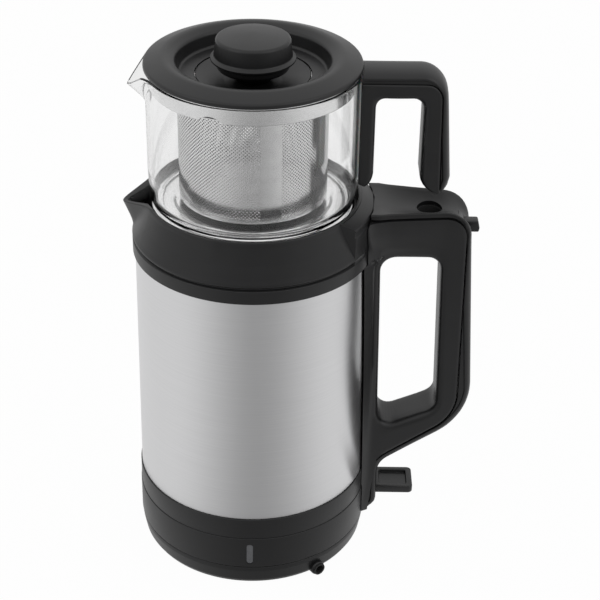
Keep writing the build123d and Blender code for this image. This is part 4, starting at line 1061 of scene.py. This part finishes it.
# ---- Teapot lid ----
# A ring of black ABS with a skirt that plugs the infuser, a dished disc set into it, and a knob: a
# glossy flared neck under a satin cap, held by one screw from below. A silicone band grips the infuser.

lid_z = 320.9
lid_r = 62.1
disc_r = 33.2
disc_z = lid_z - 4.8
dish_z = disc_z - 4.4
skirt_r = 56.8
lid_wall = 2.0
knob_z = 324.4
knob_r = 24.2
lid_ring = lathe(
    "teapot_lid_ring",
    (
        (lid_r, lid_z, 0.6), (lid_r, lid_z + 2.6, 2), (50.5, lid_z + 6.8, 7), (44.0, lid_z + 3.6, 3),
        (42.5, disc_z, 2), (disc_r, disc_z, 0.3), (disc_r, disc_z - lid_wall),
        (43.2, disc_z - lid_wall, 2), (45.9, lid_z + 2.8, 2), (50.5, lid_z + 4.4, 5),
        (skirt_r - lid_wall, lid_z + 2.4, 1), (skirt_r - lid_wall, lid_z - 8.5),
        (skirt_r, lid_z - 8.5, 0.4), (skirt_r, lid_z),
    ),
)
dress(lid_ring, black_abs, "upper_lid", "black_plastic", "lid_ring")
lid_disc = lathe(
    "teapot_lid_disc",
    (
        (2.2, dish_z), (16.5, dish_z, 4), (disc_r - 0.5, disc_z - 0.3, 0.4),
        (disc_r - 0.5, disc_z - lid_wall), (16.5, dish_z - lid_wall, 4), (2.2, dish_z - lid_wall),
    ),
    turns=144,
)
dress(lid_disc, black_abs, "upper_lid", "black_plastic", "lid_disc")

# ABS moulded in a polished tool: black and glossy, with a long faint waviness in its reflections.
polished_abs = finish(
    "polished_black_abs", {"Scale": 90.0, "Detail": 1.0},
    {"Base Color": linear("#111112"), "IOR": 1.53},
    gloss=(0.1, 0.16),
    relief={"Strength": 0.1, "Distance": 0.0005},
)
knob_neck = lathe(
    "teapot_knob_neck",
    (
        (2.2, dish_z), (9.6, dish_z, 0.4), (14.6, 317.1, 3), (20.8, 319.1, 3), (21.2, knob_z, 0.4),
        (2.2, knob_z),
    ),
    turns=144,
    steps=12,
)
dress(knob_neck, polished_abs, "upper_lid", "neck_gloss", "knob_neck")
knob_cap = lathe(
    "teapot_knob_cap",
    (
        (0, knob_z + 5.5), (1.3, knob_z + 5.5), (1.3, knob_z), (knob_r, knob_z, 0.4),
        (knob_r, knob_z + 1.1, 0.4), (knob_r - 2, knob_z + 2.4, 1.2), (knob_r - 3, knob_z + 12.6, 2.2),
        (0, knob_z + 15.6),
    ),
    turns=144,
    steps=8,
)
dress(knob_cap, black_abs, "upper_lid", "black_plastic", "knob_cap")
coat(zinc_plate, "knob_screw")

# ---- Studio ----
# A white sweep under an even sky, two soft boxes in front and a long lens from above. Glosses see a
# darker front than the camera does, so that steel and black parts show their shape.


def side_glow(owner, direction):
    """Brightness that the studio shows to a gloss: even all round, darker towards the front."""
    flat = {0: direction, 1: (1.0, 1.0, 0.0)}
    flat = add_node(owner, "ShaderNodeVectorMath", flat, operation="MULTIPLY")
    flat = add_node(owner, "ShaderNodeVectorMath", {0: flat}, operation="NORMALIZE")
    front = {0: flat, 1: (0.1, -0.995, 0.0)}
    front = add_node(owner, "ShaderNodeVectorMath", front, operation="DOT_PRODUCT").outputs["Value"]
    front = add_node(owner, "ShaderNodeMath", {0: front, 1: 0.0}, operation="MAXIMUM")
    front = add_node(owner, "ShaderNodeMath", {0: front, 1: 3.0}, operation="POWER")
    return add_node(owner, "ShaderNodeMath", {0: front, 1: -0.43, 2: 0.84}, operation="MULTIPLY_ADD")


paint = start_tree(bpy.data.materials.new("white_studio_sweep"))
where = add_node(paint, "ShaderNodeTexCoord").outputs["Object"]
rays = add_node(paint, "ShaderNodeLightPath").outputs
straight = {0: rays["Is Camera Ray"], 1: rays["Is Transmission Ray"]}
matt = add_node(paint, "ShaderNodeBsdfDiffuse", {"Color": (0.9, 0.9, 0.9, 1.0)})
seen = add_node(paint, "ShaderNodeEmission")
mirrored = add_node(paint, "ShaderNodeEmission", {"Strength": side_glow(paint, where)})
lifted = add_node(paint, "ShaderNodeMixShader", {0: 0.975, 1: matt, 2: seen})
clear = add_node(paint, "ShaderNodeMath", straight)
white = add_node(paint, "ShaderNodeMixShader", {0: clear, 1: matt, 2: lifted})
both = add_node(paint, "ShaderNodeMixShader", {0: rays["Is Glossy Ray"], 1: white, 2: mirrored})
add_node(paint, "ShaderNodeOutputMaterial", {"Surface": both})
shape = bmesh.new()
bmesh.ops.create_grid(shape, x_segments=1, y_segments=1, size=6)
sweep = make_piece("studio_floor", shape)
sweep.data.materials.append(paint)

world = start_tree(bpy.data.worlds.new("studio_sky"))
bpy.context.scene.world = world
where = add_node(world, "ShaderNodeTexCoord").outputs["Generated"]
rays = add_node(world, "ShaderNodeLightPath").outputs
straight = {0: rays["Is Camera Ray"], 1: rays["Is Transmission Ray"]}
height = add_node(world, "ShaderNodeSeparateXYZ", {0: where}).outputs[2]
upward = add_node(world, "ShaderNodeMapRange", {"Value": height, "From Min": 0.15, "From Max": 0.65})
sides = add_node(world, "ShaderNodeMath", {0: side_glow(world, where), 1: 0.8}, operation="MULTIPLY")
glow = add_node(world, "ShaderNodeMix", {0: upward, 2: sides, 3: 1.0})
level = add_node(world, "ShaderNodeMix", {0: rays["Is Glossy Ray"], 2: 0.6, 3: glow})
clear = add_node(world, "ShaderNodeMath", straight, use_clamp=True)
level = add_node(world, "ShaderNodeMix", {0: clear, 2: level, 3: 1.0})
sky = add_node(world, "ShaderNodeBackground", {"Color": (1.0, 1.0, 1.0, 1.0), "Strength": level})
add_node(world, "ShaderNodeOutputWorld", {"Surface": sky})

for name, x in (("left_softbox", -0.9), ("right_softbox", 0.9)):
    lamp = bpy.data.lights.new(name, "AREA")
    lamp.size = 0.7
    lamp.energy = 1.1
    softbox = new_object(name, lamp)
    softbox.location = (x, -0.5, 0.9)
    softbox.rotation_euler = Vector((-x, 0.5, -0.75)).to_track_quat("-Z", "Y").to_euler()

lens = bpy.data.cameras.new("product_camera")
lens.sensor_width = 36
lens.lens = 100.1
camera = new_object("product_camera", lens)
yaw = 0.00543
pitch = 0.54134
roll = 0.01751
tilt = Matrix.Rotation(math.pi / 2 - pitch, 4, "X") @ Matrix.Rotation(roll, 4, "Z")
eye = Matrix.Translation((0.023866, -0.871779, 0.690769))
camera.matrix_world = eye @ Matrix.Rotation(-yaw, 4, "Z") @ tilt
bpy.context.scene.camera = camera
bpy.context.scene.view_settings.view_transform = "Standard"
